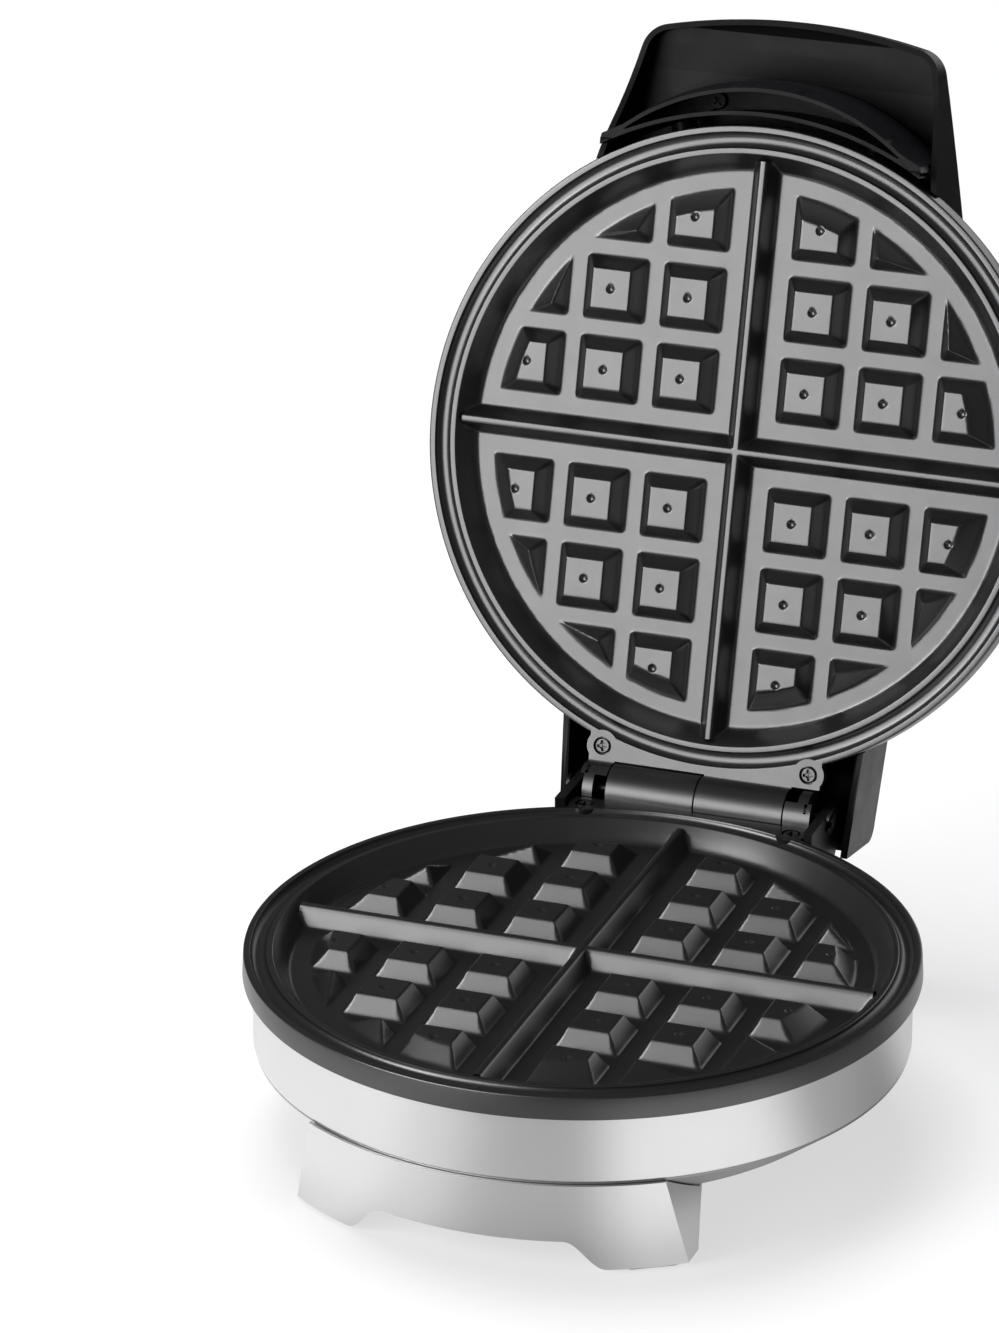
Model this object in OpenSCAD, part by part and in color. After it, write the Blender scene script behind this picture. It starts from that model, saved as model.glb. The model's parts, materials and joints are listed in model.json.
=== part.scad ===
// Round waffle maker: two identical cast waffle plates that share one hinge,
// a round drum on two arched feet below, and a domed lid with a hooded handle above.
// Millimetres, +Z up. The origin is on the table, below the middle of the lower plate.
// The hinge is towards +Y and the handle towards -Y. The lid is drawn open.

/* [Waffle plate] */
// Outer radius of both waffle plates
plate_r = 100; // [95:1:108]
// Width of the flat land along the outer edge
outer_land = 1.9; // [1.4:0.1:2.6]
// Width of the overflow channel between the two lands
channel_w = 5.4; // [4.4:0.1:6.4]
// Depth of the overflow channel
channel_depth = 3.2; // [2.2:0.1:3.6]
// Depth of the straight step at each side of the channel
channel_step = 1.2; // [0.8:0.1:1.8]
// Width of the flat land round the well
inner_land = 1.65; // [1.2:0.05:2.4]
// Depth of the batter well
well_depth = 6.5; // [5.5:0.1:9]
// How far the well's wall leans in from the land to the floor
well_taper = 4.85; // [3:0.05:6]
// Thickness of the well's floor
floor_t = 3; // [2.4:0.1:5]
// Depth of the skirt round the plate
skirt_depth = 7; // [6.4:0.1:9]
// Thickness of that skirt
skirt_t = 2.5; // [2:0.1:3.5]
// Draft of the skirt, from its foot to the land
skirt_draft = 0.4; // [0.1:0.1:0.8]
// Depth of the ledge that seats on the housing
seat_depth = 5.2; // [4.6:0.1:6]

/* [Waffle grid] */
// Distance between neighbouring pyramids
cell_pitch = 25; // [23:0.5:28]
// Distance of the first pyramid's middle from the cross ridge
cell_first = 20; // [17:0.5:22]
// Width of a pyramid at the floor
cell_base = 19.5; // [17:0.5:21]
// Width of a pyramid's flat top
cell_top = 11.5; // [8:0.5:14]
// How far the flat tops lie below the land
cell_drop = 0.8; // [0.4:0.1:1.5]
// Clear ring between the pyramids and the well's wall, at the floor
cell_margin = 6.2; // [4:0.2:9]
// Width of the cross ridges at the floor
ridge_base = 8.3; // [6:0.1:11]
// Width of the cross ridges at their top
ridge_top = 2; // [1.2:0.1:4]
// How far the ridges' top lies below the land
ridge_drop = 0.6; // [0.3:0.1:1.5]
// Radius of the dimple in each flat top
dimple_r = 1.2; // [0.6:0.1:1.6]
// Depth of that dimple
dimple_depth = 0.6; // [0.3:0.1:0.9]

/* [Hinge] */
// How far the hinge axis lies outside the plate's edge
hinge_offset = 8.8; // [8.6:0.1:12]
// Gap between the two plates when the lid is shut
plate_gap = 0.6; // [0.4:0.1:1.2]
// Angle of the open lid
lid_open = 105.6; // [95:0.2:108]
// Radius of the knuckles
barrel_r = 8; // [7:0.1:8]
// Length of the long knuckle
barrel_len = 28.3; // [24:0.1:32]
// Length of the short knuckle
lug_len = 8.5; // [7:0.1:11]
// Width of the neck that the short knuckle narrows to
lug_neck = 3.3; // [2.4:0.1:4.5]
// How far the neck lies in from the short knuckle's outer end
lug_neck_in = 1.4; // [0.6:0.1:2.2]
// End gap between neighbouring knuckles
knuckle_gap = 0.5; // [0.4:0.1:0.9]
// Gap between a knuckle and the other plate's flange
knuckle_clear = 0.5; // [0.4:0.1:0.9]
// Radius of the hinge pin
pin_r = 2.1; // [1.6:0.1:3]
// Radial clearance of the hinge pin in the knuckles
pin_clear = 0.05; // [0.02:0.01:0.1]
// Thickness of the flange that carries the knuckles
flange_t = 5; // [4:0.1:5]
// Distance of the flange's screws from the middle
flange_screw_x = 33.5; // [28:0.5:35]
// Distance of the flange's screws from the hinge axis
flange_screw_in = 12.8; // [11.8:0.1:14]
// Radius of the round boss at each of these screws
flange_boss_r = 5; // [4:0.1:6]
// Radius of a flange screw's head
head_r = 2.6; // [2.2:0.1:3.2]
// Radius of a flange screw's shank
shank_r = 1.5; // [1.1:0.1:1.8]

/* [Base] */
// Height of the lower plate's land above the table
rim_height = 56; // [52:1:66]
// Wall of the drum
drum_wall = 2; // [1.4:0.1:3]
// Height of the drum's lower edge
drum_low = 28; // [24:0.5:32]
// Width of the pan's slanted side, seen from above
pan_flank = 14.9; // [11:0.1:20]
// Height of that floor above the table
pan_low = 16; // [12:0.5:18]
// Wall of the pan
pan_t = 2.2; // [1.6:0.1:3]
// How far the feet stand proud of the drum
foot_proud = 1.1; // [0.6:0.1:2]
// Half width of a foot at its top
foot_top_half = 54; // [48:0.5:60]
// Half width of a foot at its bottom
foot_low_half = 59.7; // [54:0.1:66]
// Thickness of a foot at its bottom
foot_t = 6.6; // [5:0.1:9]
// How far a foot reaches in below the pan's flat floor
foot_under = 1.5; // [0.5:0.1:3]
// How far a foot's screws lie in from its face
foot_screw_in = 11.3; // [10:0.1:12.5]
// Gap between the drum's edge and a foot
foot_gap = 0.6; // [0.4:0.1:1.2]
// Clear height of the arch in a foot
arch_h = 9; // [6:0.5:10]
// Half width of the arch at its top
arch_top_half = 27.5; // [20:0.5:30]
// Half width of the arch at its bottom
arch_low_half = 39.5; // [36:0.5:43]
// How far the rubber pads stand proud of the feet
pad_proud = 0.8; // [0.4:0.1:1.6]
// How deep the pads are let into the feet
pad_in = 0.8; // [0.4:0.1:1.6]

/* [Hinge housing] */
// Half width of the base's hinge housing
block_half = 41.6; // [40:0.1:43]
// How far its top edge lies above the lower plate's land
block_top = 2.6; // [1.5:0.1:3]
// How far its rear face lies behind the hinge axis
block_rear = 12.2; // [11.6:0.1:13]
// How far its rear face reaches below the hinge axis
block_drop = 9.8; // [9.4:0.1:11]
// Height of its lower edge above the table
block_low = 30; // [29:0.5:34]
// Wall of the hinge housing
block_t = 3; // [2:0.1:3]

/* [Lid] */
// Height of the lid above the upper plate's land
lid_h = 32; // [30:0.5:38]
// Wall of the lid's housing
lid_wall = 2.2; // [1.6:0.1:3]
// Height of the straight edge above the upper plate's ledge
lid_edge = 2.8; // [2:0.1:5]
// How far the lid's side leans in up to its shoulder
lid_lean = 2.7; // [1.5:0.1:5]
// Radius of the lid's shoulder
lid_shoulder = 12; // [9:0.5:14]
// How far the metal disc on the lid reaches past the circle of pillars
disc_over = 4.5; // [4:0.1:5]
// Thickness of the metal disc
disc_t = 0.5; // [0.5:0.1:1.2]
// Half width of the lid's rear housing where it leaves the dome
arm_front_half = 49; // [48.6:0.1:52]
// Half width of the lid's rear housing at its end
arm_rear_half = 47; // [46.8:0.1:49]
// How far the lid's rear housing reaches behind the hinge axis
arm_reach = 12.2; // [11:0.1:14]
// Height at which the rear housing's end wall starts
arm_notch = 14; // [14:0.5:22]

/* [Handle] */
// How far the handle's tip lies outside the plate's edge
handle_reach = 31.3; // [26:0.1:40]
// Radius of the curve along the handle's tip
handle_tip_r = 186; // [150:1:260]
// Half width of the handle where the liner's lip is widest
handle_half = 50; // [47:0.5:56]
// How far outside the plate's edge that half width is taken
handle_half_out = 7; // [4:0.5:10]
// Flare of the handle's sides towards the lid
handle_flare = 0.2; // [0.1:0.02:0.3]
// Radius of the handle's corners
handle_corner = 9; // [6:0.5:12]
// Wall of the handle
handle_t = 1.8; // [1.4:0.1:2.6]
// Height of the handle's lower edge at the lid
handle_edge_in = 3.5; // [1:0.5:6]
// Height of the handle's lower edge at its tip
handle_edge_tip = 20.5; // [16:0.5:22]
// Height of the handle's top at its tip
handle_top_tip = 27; // [25:0.5:29]
// How far the liner's lips stand below the upper plate's land
lip_drop = 4.5; // [0:0.5:5]
// Gap between the upper plate and the liner's inner lip
lip_gap = 2.8; // [1.5:0.1:4]
// Thickness of the lips
lip_t = 1.2; // [1:0.1:2]
// Width of the crescent slot between the lips
slot_w = 8; // [5:0.2:9]
// Radius of the outer lip
outer_lip_r = 70.6; // [66:0.2:78]
// Depth of the liner above the upper plate's land
liner_h = 23; // [18:0.5:24]

/* [Electrics] */
// How far the heating element's ring lies in from the shield's edge
element_in = 8; // [5:0.5:12]
// Radius of the heating element's tube
element_r = 3.3; // [2.8:0.1:4]
// Angle that the element's ring covers
element_sweep = 300; // [270:5:320]
// Gap between the heat shield and the pillars
shield_gap = 0.9; // [0.5:0.1:3]
// Thickness of the heat shield
shield_t = 0.5; // [0.4:0.1:1]
// How far the cast studs of the clamps and the shield lie in from the element's ring
stud_in = 18; // [14:0.5:24]
// Radius of a cast stud
stud_r = 4; // [3.5:0.1:5]
// How far the pillars that carry a plate lie in from the edge of its floor
pillar_in = 14.7; // [14.2:0.1:14.7]
// Radius of a pillar
pillar_r = 4.6; // [4.2:0.1:4.8]
// Length of the cast pad on each pillar
pad_h = 4.3; // [3:0.1:5]
// Radius of a thermostat
thermostat_r = 8; // [6:0.5:9]
// Height of a thermostat
thermostat_h = 9; // [7:0.5:11]
// Radius of an indicator lens
lens_r = 2.3; // [1.8:0.1:2.4]
// Distance of each indicator lens from the middle
lens_x = 9; // [6:0.5:14]

/* [Hidden] */
$fn = 96;
// Gap between neighbouring pieces that are assembled with play
fit = 0.3;
// Small overlap that makes cuts clean
eps = 0.05;
// Length or height that is longer than anything it cuts
big = 400;

plastic_black = "#1b1b1d";
satin_silver = "#c9cacc";
coated_grey = "#4b4c4e";
bare_steel = "#9a9ca0";

// Plate radii, from the outside in
land_in_r = plate_r - outer_land;
well_land_r = land_in_r - channel_w;
well_r = well_land_r - inner_land;
floor_r = well_r - well_taper;
cell_limit_r = floor_r - cell_margin;
under_z = -well_depth - floor_t;
pad_z = under_z - pad_h;
pillar_ring_r = floor_r - pillar_in;
shield_r = pillar_ring_r - pillar_r - shield_gap;
element_ring_r = shield_r - element_in;
stud_ring_r = element_ring_r - stud_in;
disc_r = pillar_ring_r + disc_over;

// Hinge places
hinge_y = plate_r + hinge_offset;
hinge_z = rim_height + plate_gap / 2;
flange_end_y = hinge_y - barrel_r - knuckle_clear;
barrel_x0 = knuckle_gap / 2;
barrel_x1 = barrel_x0 + barrel_len;
lug_x0 = barrel_x1 + knuckle_gap;
lug_x1 = lug_x0 + lug_len;
flange_screw_y = hinge_y - flange_screw_in;
head_h = 1.9;
boss_depth = 12;

// Base places, as heights above the table
drum_r = plate_r - skirt_t - fit;
drum_top = rim_height - seat_depth;
plate_under = rim_height + under_z;
pan_r = drum_r - fit;
foot_r = drum_r + foot_proud;
foot_inner_r = foot_r - foot_t;
pan_floor_r = pan_r - pan_flank;
pan_rim_low = drum_low - foot_gap;
pan_slope = (pan_rim_low - pan_low) / (pan_r - pan_floor_r);
foot_screw_angle = 20;
foot_screw_r = foot_r - foot_screw_in;
foot_boss_r = 4;
foot_boss_h = 9;
foot_boss_top = pan_low + foot_boss_h;
foot_skin = 2;
foot_hole_z = pad_proud + arch_h + foot_skin;
housing_hole = 8;
housing_boss_r = 4;

// Lid places, as heights above the upper plate's land
edge_z = seat_depth + lid_edge;
shoulder_z = lid_h - lid_shoulder;
shoulder_angle = atan(lid_lean / (shoulder_z - edge_z));
shoulder_drop = tan(shoulder_angle) * (shoulder_z + lid_shoulder * sin(shoulder_angle) - edge_z);
shoulder_r = drum_r - shoulder_drop - lid_shoulder * cos(shoulder_angle);
element_z = -under_z + fit + element_r;
stud_end = element_z + element_r + fit;
clamp_t = 1.5;
shield_thread = 4.5;
shield_z = -stud_end - clamp_t - shield_t;

// Other places
wire_z = 38;
wire_hole_r = 5;
gland_z = 39;
gland_r = 5;
pan_bore_h = 8;
pad_clear = 0.1;
clip_off = 0.3;
clip_t = 0.8;
lens_y = shoulder_r - 3.2;
lens_low = lid_h - lid_wall - 1.5;
board_y = lens_y + 7;
board_post_x = 14;
board_z = 23.5;
board_t = 1.6;
board_pin_r = 0.9;
handle_screw_z = 17;
handle_screw_r = drum_r - tan(shoulder_angle) * (handle_screw_z - edge_z);
handle_seat = 6.5;
handle_boss = 7.4;
handle_hole = 6.6;
handle_tip = plate_r + handle_reach;
handle_half_at = plate_r + handle_half_out;
handle_root = plate_r - 40;
liner_floor = 1.6;
liner_hole = 3.4;
seat_gap = 0.1;
lip_y = plate_r + lip_gap + lip_t + slot_w - outer_lip_r;
liner_screw_x = 22;
liner_screw_y = plate_r + lip_gap + lip_t + 1;
arm_root = plate_r - 40;
arm_front = plate_r - 15;

// First and last angle of three pieces on a circle, and angle of the pads
ring_turn = 30;
pad_ring_r = foot_r - foot_t / 2;
pad_angle = asin((arch_low_half + foot_low_half) / 2 / pad_ring_r);

// A value at t between a and b
function mix(a, b, t) = a + (b - a) * t;
// Points of an arc, with n steps
function arc(cx, cy, r, a0, a1, n) =
  [for (i = [0:n]) [cx + r * cos(mix(a0, a1, i / n)), cy + r * sin(mix(a0, a1, i / n))]];

// ---------------------------------------------------------------- placing

// Turns a part from the closed lid's place to the open lid's place
module opened() {
  translate([0, hinge_y, hinge_z]) rotate([-lid_open, 0, 0]) translate([0, -hinge_y, -hinge_z])
    children();
}

// Lid part drawn on the upper plate's land, with its height upwards
module on_lid() {
  opened() translate([0, 0, rim_height + plate_gap]) children();
}

// Copies at n equal angles on a circle
module around(n, r, first = 0) {
  for (i = [0:n - 1]) rotate(first + 360 / n * i) translate([r, 0, 0]) children();
}

// The same at both sides of the middle
module both_sides() {
  children();
  mirror([1, 0, 0]) children();
}

// Extrusion along X of a profile drawn as [y, z], from x0 to x1
module along_x(x0, x1) {
  translate([x0, 0, 0]) rotate([90, 0, 90]) linear_extrude(x1 - x0) children();
}

// Extrusion along Y of a profile drawn as [x, z], from y0 to y1
module along_y(y0, y1) {
  translate([0, y1, 0]) rotate([90, 0, 0]) linear_extrude(y1 - y0) children();
}

// ---------------------------------------------------------------- waffle plate

// Half section of the plate's rim, well and floor
module plate_section() {
  channel_mid = (land_in_r + well_land_r) / 2;
  hollow = channel_depth - channel_step;
  hollow_half = channel_w / 2 - channel_w / 10;
  hollow_r = (hollow_half * hollow_half + hollow * hollow) / (2 * hollow);
  hollow_a = asin(hollow_half / hollow_r);
  web = skirt_depth / 3;
  polygon(concat(
    [[0, under_z], [floor_r + web, under_z], [well_r + web / 3, -seat_depth]],
    [[plate_r - skirt_t, -seat_depth], [plate_r - skirt_t, -skirt_depth], [plate_r, -skirt_depth]],
    [[plate_r - skirt_draft, -skirt_draft], [plate_r - 2 * skirt_draft, 0], [land_in_r, 0]],
    [[land_in_r, -channel_step]],
    arc(channel_mid, hollow_r - channel_depth, hollow_r, 270 + hollow_a, 270 - hollow_a, 8),
    [[well_land_r, -channel_step], [well_land_r, 0], [well_r, 0], [floor_r, -well_depth], [0, -well_depth]]
  ));
}

// Side profiles of one row of pyramids, as prisms across the plate
module pyramid_rows() {
  top = -cell_drop;
  for (side = [-1, 1], i = [0:2]) {
    x = side * (cell_first + i * cell_pitch);
    translate([0, plate_r, 0]) rotate([90, 0, 0]) linear_extrude(2 * plate_r)
      polygon([
        [x - cell_base / 2, -well_depth - eps], [x + cell_base / 2, -well_depth - eps],
        [x + cell_top / 2, top], [x - cell_top / 2, top]
      ]);
  }
}

// All pyramids: rows across rows, inside a cone that trims the outer ones
module pyramids() {
  height = well_depth - cell_drop;
  difference() {
    intersection() {
      pyramid_rows();
      rotate(90) pyramid_rows();
      translate([0, 0, -well_depth - eps])
        cylinder(r1 = cell_limit_r, r2 = cell_limit_r - height, h = height + eps);
    }
    for (x = [-1, 1], y = [-1, 1], i = [0:2], j = [0:2])
      if (i + j < 3)
        translate([x * (cell_first + i * cell_pitch), y * (cell_first + j * cell_pitch), -cell_drop])
          dimple();
  }
}

module dimple() {
  ball = (dimple_r * dimple_r + dimple_depth * dimple_depth) / (2 * dimple_depth);
  translate([0, 0, ball - dimple_depth]) sphere(ball, $fn = 24);
}

// The two ridges that part the waffle into four
module cross_ridges() {
  reach = (floor_r + well_r) / 2;
  for (turn = [0, 90])
    rotate(turn) along_y(-reach, reach)
      polygon([
        [-ridge_base / 2, -well_depth - eps], [ridge_base / 2, -well_depth - eps],
        [ridge_top / 2, -ridge_drop], [-ridge_top / 2, -ridge_drop]
      ]);
}

// Flange with its screw bosses, level with the land
module flange() {
  difference() {
    union() {
      translate([-lug_x1, flange_screw_y - flange_boss_r, -flange_t])
        cube([2 * lug_x1, flange_end_y - flange_screw_y + flange_boss_r, flange_t]);
      both_sides() translate([flange_screw_x, flange_screw_y, -flange_t])
        cylinder(r = flange_boss_r, h = flange_t);
    }
    translate([-plate_r, flange_end_y, -plate_r]) cube(2 * plate_r);
    difference() {
      translate([0, 0, -big / 2]) cylinder(r = land_in_r, h = big);
      both_sides() translate([flange_screw_x, flange_screw_y, -flange_t - eps])
        cylinder(r = flange_boss_r, h = big);
    }
  }
}

// One knuckle from x0 to x1, with the web that joins it to the flange
module knuckle(x0, x1) {
  translate([x0, hinge_y, plate_gap / 2]) rotate([0, 90, 0]) cylinder(r = barrel_r, h = x1 - x0);
  translate([x0, flange_end_y - eps, -flange_t])
    cube([x1 - x0, hinge_y - flange_end_y + eps, flange_t]);
}

// Short knuckle: full width at the flange, a narrow neck round the pin
module lug() {
  neck_x1 = lug_x1 - lug_neck_in;
  shoulder = barrel_r * 0.588;
  knuckle(neck_x1 - lug_neck, neck_x1);
  difference() {
    knuckle(lug_x0, lug_x1);
    translate([lug_x0 - eps, hinge_y - shoulder, -barrel_r])
      cube([lug_len + 2 * eps, 2 * barrel_r, 2 * barrel_r + plate_gap]);
  }
}

// One cast plate with its hinge side towards +Y, its land at z = 0 and its face up
module waffle_plate() {
  color(coated_grey)
  difference() {
    union() {
      rotate_extrude($fn = 180) plate_section();
      pyramids();
      cross_ridges();
      flange();
      mirror([1, 0, 0]) knuckle(barrel_x0, barrel_x1);
      lug();
      around(3, stud_ring_r, ring_turn) translate([0, 0, -stud_end])
        cylinder(r = stud_r, h = stud_end + under_z + eps);
      around(3, pillar_ring_r, ring_turn) translate([0, 0, pad_z])
        cylinder(r = pillar_r, h = pad_h + floor_t / 2);
    }
    translate([-big / 2, hinge_y, plate_gap / 2]) rotate([0, 90, 0])
      cylinder(r = pin_r + pin_clear, h = big);
    both_sides() translate([flange_screw_x, flange_screw_y, 0]) screw_hole(flange_t);
    around(3, stud_ring_r, ring_turn) translate([0, 0, -stud_end - eps])
      cylinder(r = shank_r, h = stud_end + under_z);
    around(3, pillar_ring_r, ring_turn) translate([0, 0, pad_z - eps])
      cylinder(r = shank_r, h = pad_h + floor_t / 2);
  }
}

// Counterbored hole for a screw whose head lies level with z = 0
module screw_hole(depth) {
  translate([0, 0, -head_h - fit / 3]) cylinder(r = head_r + fit, h = head_h + 1);
  translate([0, 0, -depth - 1]) cylinder(r = shank_r + fit / 2, h = depth + 1);
}

// Pan head screw with a cross recess, its head's top at z = 0 and its shank downwards
module screw(length) {
  color(bare_steel)
  difference() {
    union() {
      translate([0, 0, -head_h]) cylinder(r1 = head_r, r2 = head_r - 0.3, h = head_h);
      translate([0, 0, -length]) cylinder(r = shank_r - 0.1, h = length - head_h + eps);
    }
    for (turn = [45, 135])
      rotate(turn) translate([-head_r * 0.62, -0.35, -1.1]) cube([head_r * 1.24, 0.7, 2]);
  }
}

// ---------------------------------------------------------------- heating parts, drawn below a plate

// Clearance hole for a screw's shank, along Z
module shank_hole(length) {
  cylinder(r = shank_r + fit / 2, h = length, center = true);
}

// Tubular heating element with its two cold ends
module element() {
  gap = (360 - element_sweep) / 2;
  color(bare_steel) translate([0, 0, -element_z]) rotate(90 + gap) {
    rotate_extrude(angle = element_sweep) translate([element_ring_r, 0]) circle(element_r, $fn = 32);
    translate([element_ring_r, eps, 0]) rotate([90, 0, 0]) cylinder(r = element_r / 3, h = 9);
    rotate(element_sweep) translate([element_ring_r, -eps, 0]) rotate([-90, 0, 0])
      cylinder(r = element_r / 3, h = 9);
  }
}

// Clamps that reach from the cast studs over the element
module clamps() {
  inner = stud_ring_r - stud_r - 1;
  color(bare_steel) around(3, 0, ring_turn)
    difference() {
      translate([inner, -stud_r - 1, -stud_end - clamp_t])
        cube([element_ring_r + element_r - inner, 2 * stud_r + 2, clamp_t]);
      translate([stud_ring_r, 0, -stud_end]) shank_hole(4 * clamp_t);
    }
}

// Round heat shield under the clamps
module shield() {
  color(bare_steel)
  difference() {
    translate([0, 0, shield_z]) cylinder(r = shield_r, h = shield_t);
    around(3, stud_ring_r, ring_turn) translate([0, 0, shield_z]) shank_hole(4 * shield_t);
    translate([0, 0, shield_z - 1]) cylinder(r = thermostat_r + fit, h = shield_t + 2);
  }
}

// Screws through the shield and the clamps into the studs
module shield_screws() {
  around(3, stud_ring_r, ring_turn) translate([0, 0, shield_z - head_h]) rotate([180, 0, 0])
    screw(head_h + shield_t + clamp_t + shield_thread);
}

// ---------------------------------------------------------------- base

module base_shell() {
  edge = 0.5;
  color(satin_silver)
  difference() {
    rotate_extrude($fn = 180) polygon([
      [drum_r - drum_wall, drum_low], [drum_r - edge, drum_low], [drum_r, drum_low + edge],
      [drum_r, drum_top], [drum_r - drum_wall, drum_top]
    ]);
    housing_screw_places() translate([0, -3 * drum_wall, 0]) rotate([-90, 0, 0])
      cylinder(r = shank_r + fit / 2, h = 6 * drum_wall);
    translate([0, drum_r, wire_z]) rotate([90, 0, 0]) cylinder(r = wire_hole_r, h = 20, center = true);
    gland_place() translate([0, -3 * drum_wall, 0]) rotate([-90, 0, 0])
      cylinder(r = gland_r + fit / 6, h = 6 * drum_wall);
  }
}

// Dish that closes the drum from below, with a pillar for each of its long screws
module base_pan() {
  lip_r = drum_r - drum_wall - fit;
  lip_h = 3;
  lip_in = lip_r - 1.8;
  inner_low = pan_low + pan_t;
  slant = pan_t * 1.25;
  mid_low = pan_low + pan_t / 2;
  color(satin_silver)
  difference() {
    union() {
      rotate_extrude($fn = 180) polygon([
        [0, pan_low], [pan_floor_r, pan_low], [pan_r, pan_rim_low], [pan_r, drum_low],
        [lip_r, drum_low], [lip_r, drum_low + lip_h], [lip_in, drum_low + lip_h],
        [lip_in, pan_low + slant + (lip_in - pan_floor_r) * pan_slope],
        [pan_floor_r - 1, inner_low], [0, inner_low]
      ]);
      around(3, pillar_ring_r, ring_turn) translate([0, 0, pan_low + eps])
        cylinder(r = pillar_r, h = rim_height + pad_z - pan_low - eps);
      intersection() {
        foot_screw_places() translate([0, 0, mid_low])
          cylinder(r = foot_boss_r, h = foot_boss_top - mid_low);
        rotate_extrude($fn = 180) polygon([
          [0, mid_low], [pan_floor_r, mid_low], [pan_r, mid_low + pan_rim_low - pan_low],
          [pan_r, drum_top], [0, drum_top]
        ]);
      }
    }
    around(3, pillar_ring_r, ring_turn) {
      translate([0, 0, pan_low - eps]) cylinder(r = head_r + fit, h = pan_bore_h + eps);
      translate([0, 0, pan_low]) cylinder(r = shank_r + fit / 2, h = big);
    }
    foot_screw_places() translate([0, 0, foot_boss_top]) shank_hole(40);
  }
}

// Places of the screws that hold the feet: two in front, two at the rear
module foot_screw_places() {
  for (side = [90, 270], turn = [-1, 1])
    rotate(side + turn * foot_screw_angle) translate([foot_screw_r, 0, 0]) children();
}

// One arched foot, drawn at the front
module foot() {
  seat = 0.35;
  under = pan_low - seat;
  steps = 10;
  side = [for (i = [0:steps])
    [mix(arch_low_half, arch_top_half, i / steps), pad_proud + arch_h * (1 - cos(180 * i / steps)) / 2]];
  arch = concat(
    [[-arch_low_half, 0]], [for (p = side) [-p[0], p[1]]],
    [for (i = [steps:-1:0]) side[i]], [[arch_low_half, 0]]
  );
  color(satin_silver)
  difference() {
    intersection() {
      rotate_extrude($fn = 180) polygon([
        [foot_inner_r, pad_proud], [foot_r, pad_proud], [foot_r, pan_rim_low], [pan_r + fit, pan_rim_low],
        [pan_r + fit, pan_rim_low - seat], [pan_floor_r + seat, under], [pan_floor_r - foot_under, under]
      ]);
      along_y(-plate_r - 5, -pan_floor_r / 3) polygon([
        [-foot_low_half, pad_proud], [foot_low_half, pad_proud],
        [foot_top_half, pan_rim_low], [-foot_top_half, pan_rim_low]
      ]);
    }
    along_y(-plate_r - 6, 0) polygon(arch);
    pad_places() pad(pad_clear);
    foot_screw_places() translate([0, 0, foot_hole_z]) cylinder(r = shank_r, h = foot_boss_top - foot_hole_z);
  }
}

// Places of the rubber pads, one under each leg
module pad_places() {
  for (side = [90, 270], turn = [-1, 1])
    rotate(side + turn * pad_angle) translate([pad_ring_r, 0, 0]) children();
}

// One pad with rounded ends
module pad(grow) {
  half_l = 6;
  half_w = 2;
  h = pad_proud + pad_in + grow;
  translate([-half_w - grow, -half_l, 0]) cube([2 * half_w + 2 * grow, 2 * half_l, h]);
  for (end = [-1, 1]) translate([0, end * half_l, 0]) cylinder(r = half_w + grow, h = h);
}

module front_foot() foot();
module rear_foot() mirror([0, 1, 0]) foot();
module foot_pads() { color(plastic_black) pad_places() pad(0); }

module foot_screws() {
  foot_screw_places() translate([0, 0, foot_boss_top + head_h])
    screw(foot_boss_top + head_h - foot_hole_z - 2 * fit);
}

// Long screws from below through the pan's pillars into the cast pads
module pan_screws() {
  seat_z = pan_low + pan_bore_h;
  around(3, pillar_ring_r, ring_turn) translate([0, 0, seat_z - head_h]) rotate([180, 0, 0])
    screw(rim_height + pad_z + pad_h - seat_z + head_h);
}

module lower_plate() {
  translate([0, 0, rim_height]) waffle_plate();
}

module lower_plate_screws() {
  both_sides() translate([flange_screw_x, flange_screw_y, rim_height - seat_gap]) screw(boss_depth);
}

// Moulded housing behind the drum: pocket for the knuckles, cheeks for the pin
module hinge_housing() {
  y1 = hinge_y + block_rear;
  top = rim_height + block_top;
  low = hinge_z - block_drop;
  y0 = y1 - (low - block_low) * 1.03;
  soft = 2;
  pocket = low + 0.6;
  inside = block_half - block_t;
  housing_rib = 2.4;
  color(plastic_black)
  difference() {
    union() {
      difference() {
        along_x(-block_half, block_half) polygon(concat(
          [[drum_r / 2, block_low], [y0, block_low], [y1, low]],
          arc(y1 - soft, top - soft, soft, 0, 90, 5), [[drum_r / 2, top]]
        ));
        along_x(-inside, inside) polygon([
          [drum_r / 2, pocket], [y1 - block_t, pocket], [y1 - block_t, top + 1], [drum_r / 2, top + 1]
        ]);
        along_x(-inside, inside) polygon([
          [drum_r / 2, block_low + block_t], [y0 - 1.3, block_low + block_t],
          [y1 - block_t - 3, pocket - block_t], [drum_r / 2, pocket - block_t]
        ]);
      }
      both_sides() translate([flange_screw_x, flange_screw_y, block_low + 0.5])
        cylinder(r = flange_boss_r - 1, h = rim_height - flange_t - block_low - 0.5);
      housing_screw_places() {
        rotate([-90, 0, 0]) cylinder(r = housing_boss_r, h = housing_hole + 1);
        translate([-housing_rib / 2, 0, block_low + block_t / 2 - wire_z])
          cube([housing_rib, housing_hole + 1, wire_z - block_low - block_t / 2]);
      }
    }
    translate([0, 0, rim_height - skirt_depth - fit])
      cylinder(r = plate_r + fit, h = big, $fn = 180);
    cylinder(r = drum_r + fit, h = big, $fn = 180);
    translate([-big / 2, hinge_y, hinge_z]) rotate([0, 90, 0])
      cylinder(r = pin_r + pin_clear, h = big);
    both_sides() translate([flange_screw_x, flange_screw_y, rim_height - boss_depth - 1])
      cylinder(r = shank_r, h = boss_depth + 1);
    housing_screw_places() rotate([-90, 0, 0]) cylinder(r = shank_r, h = housing_hole);
  }
}

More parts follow.
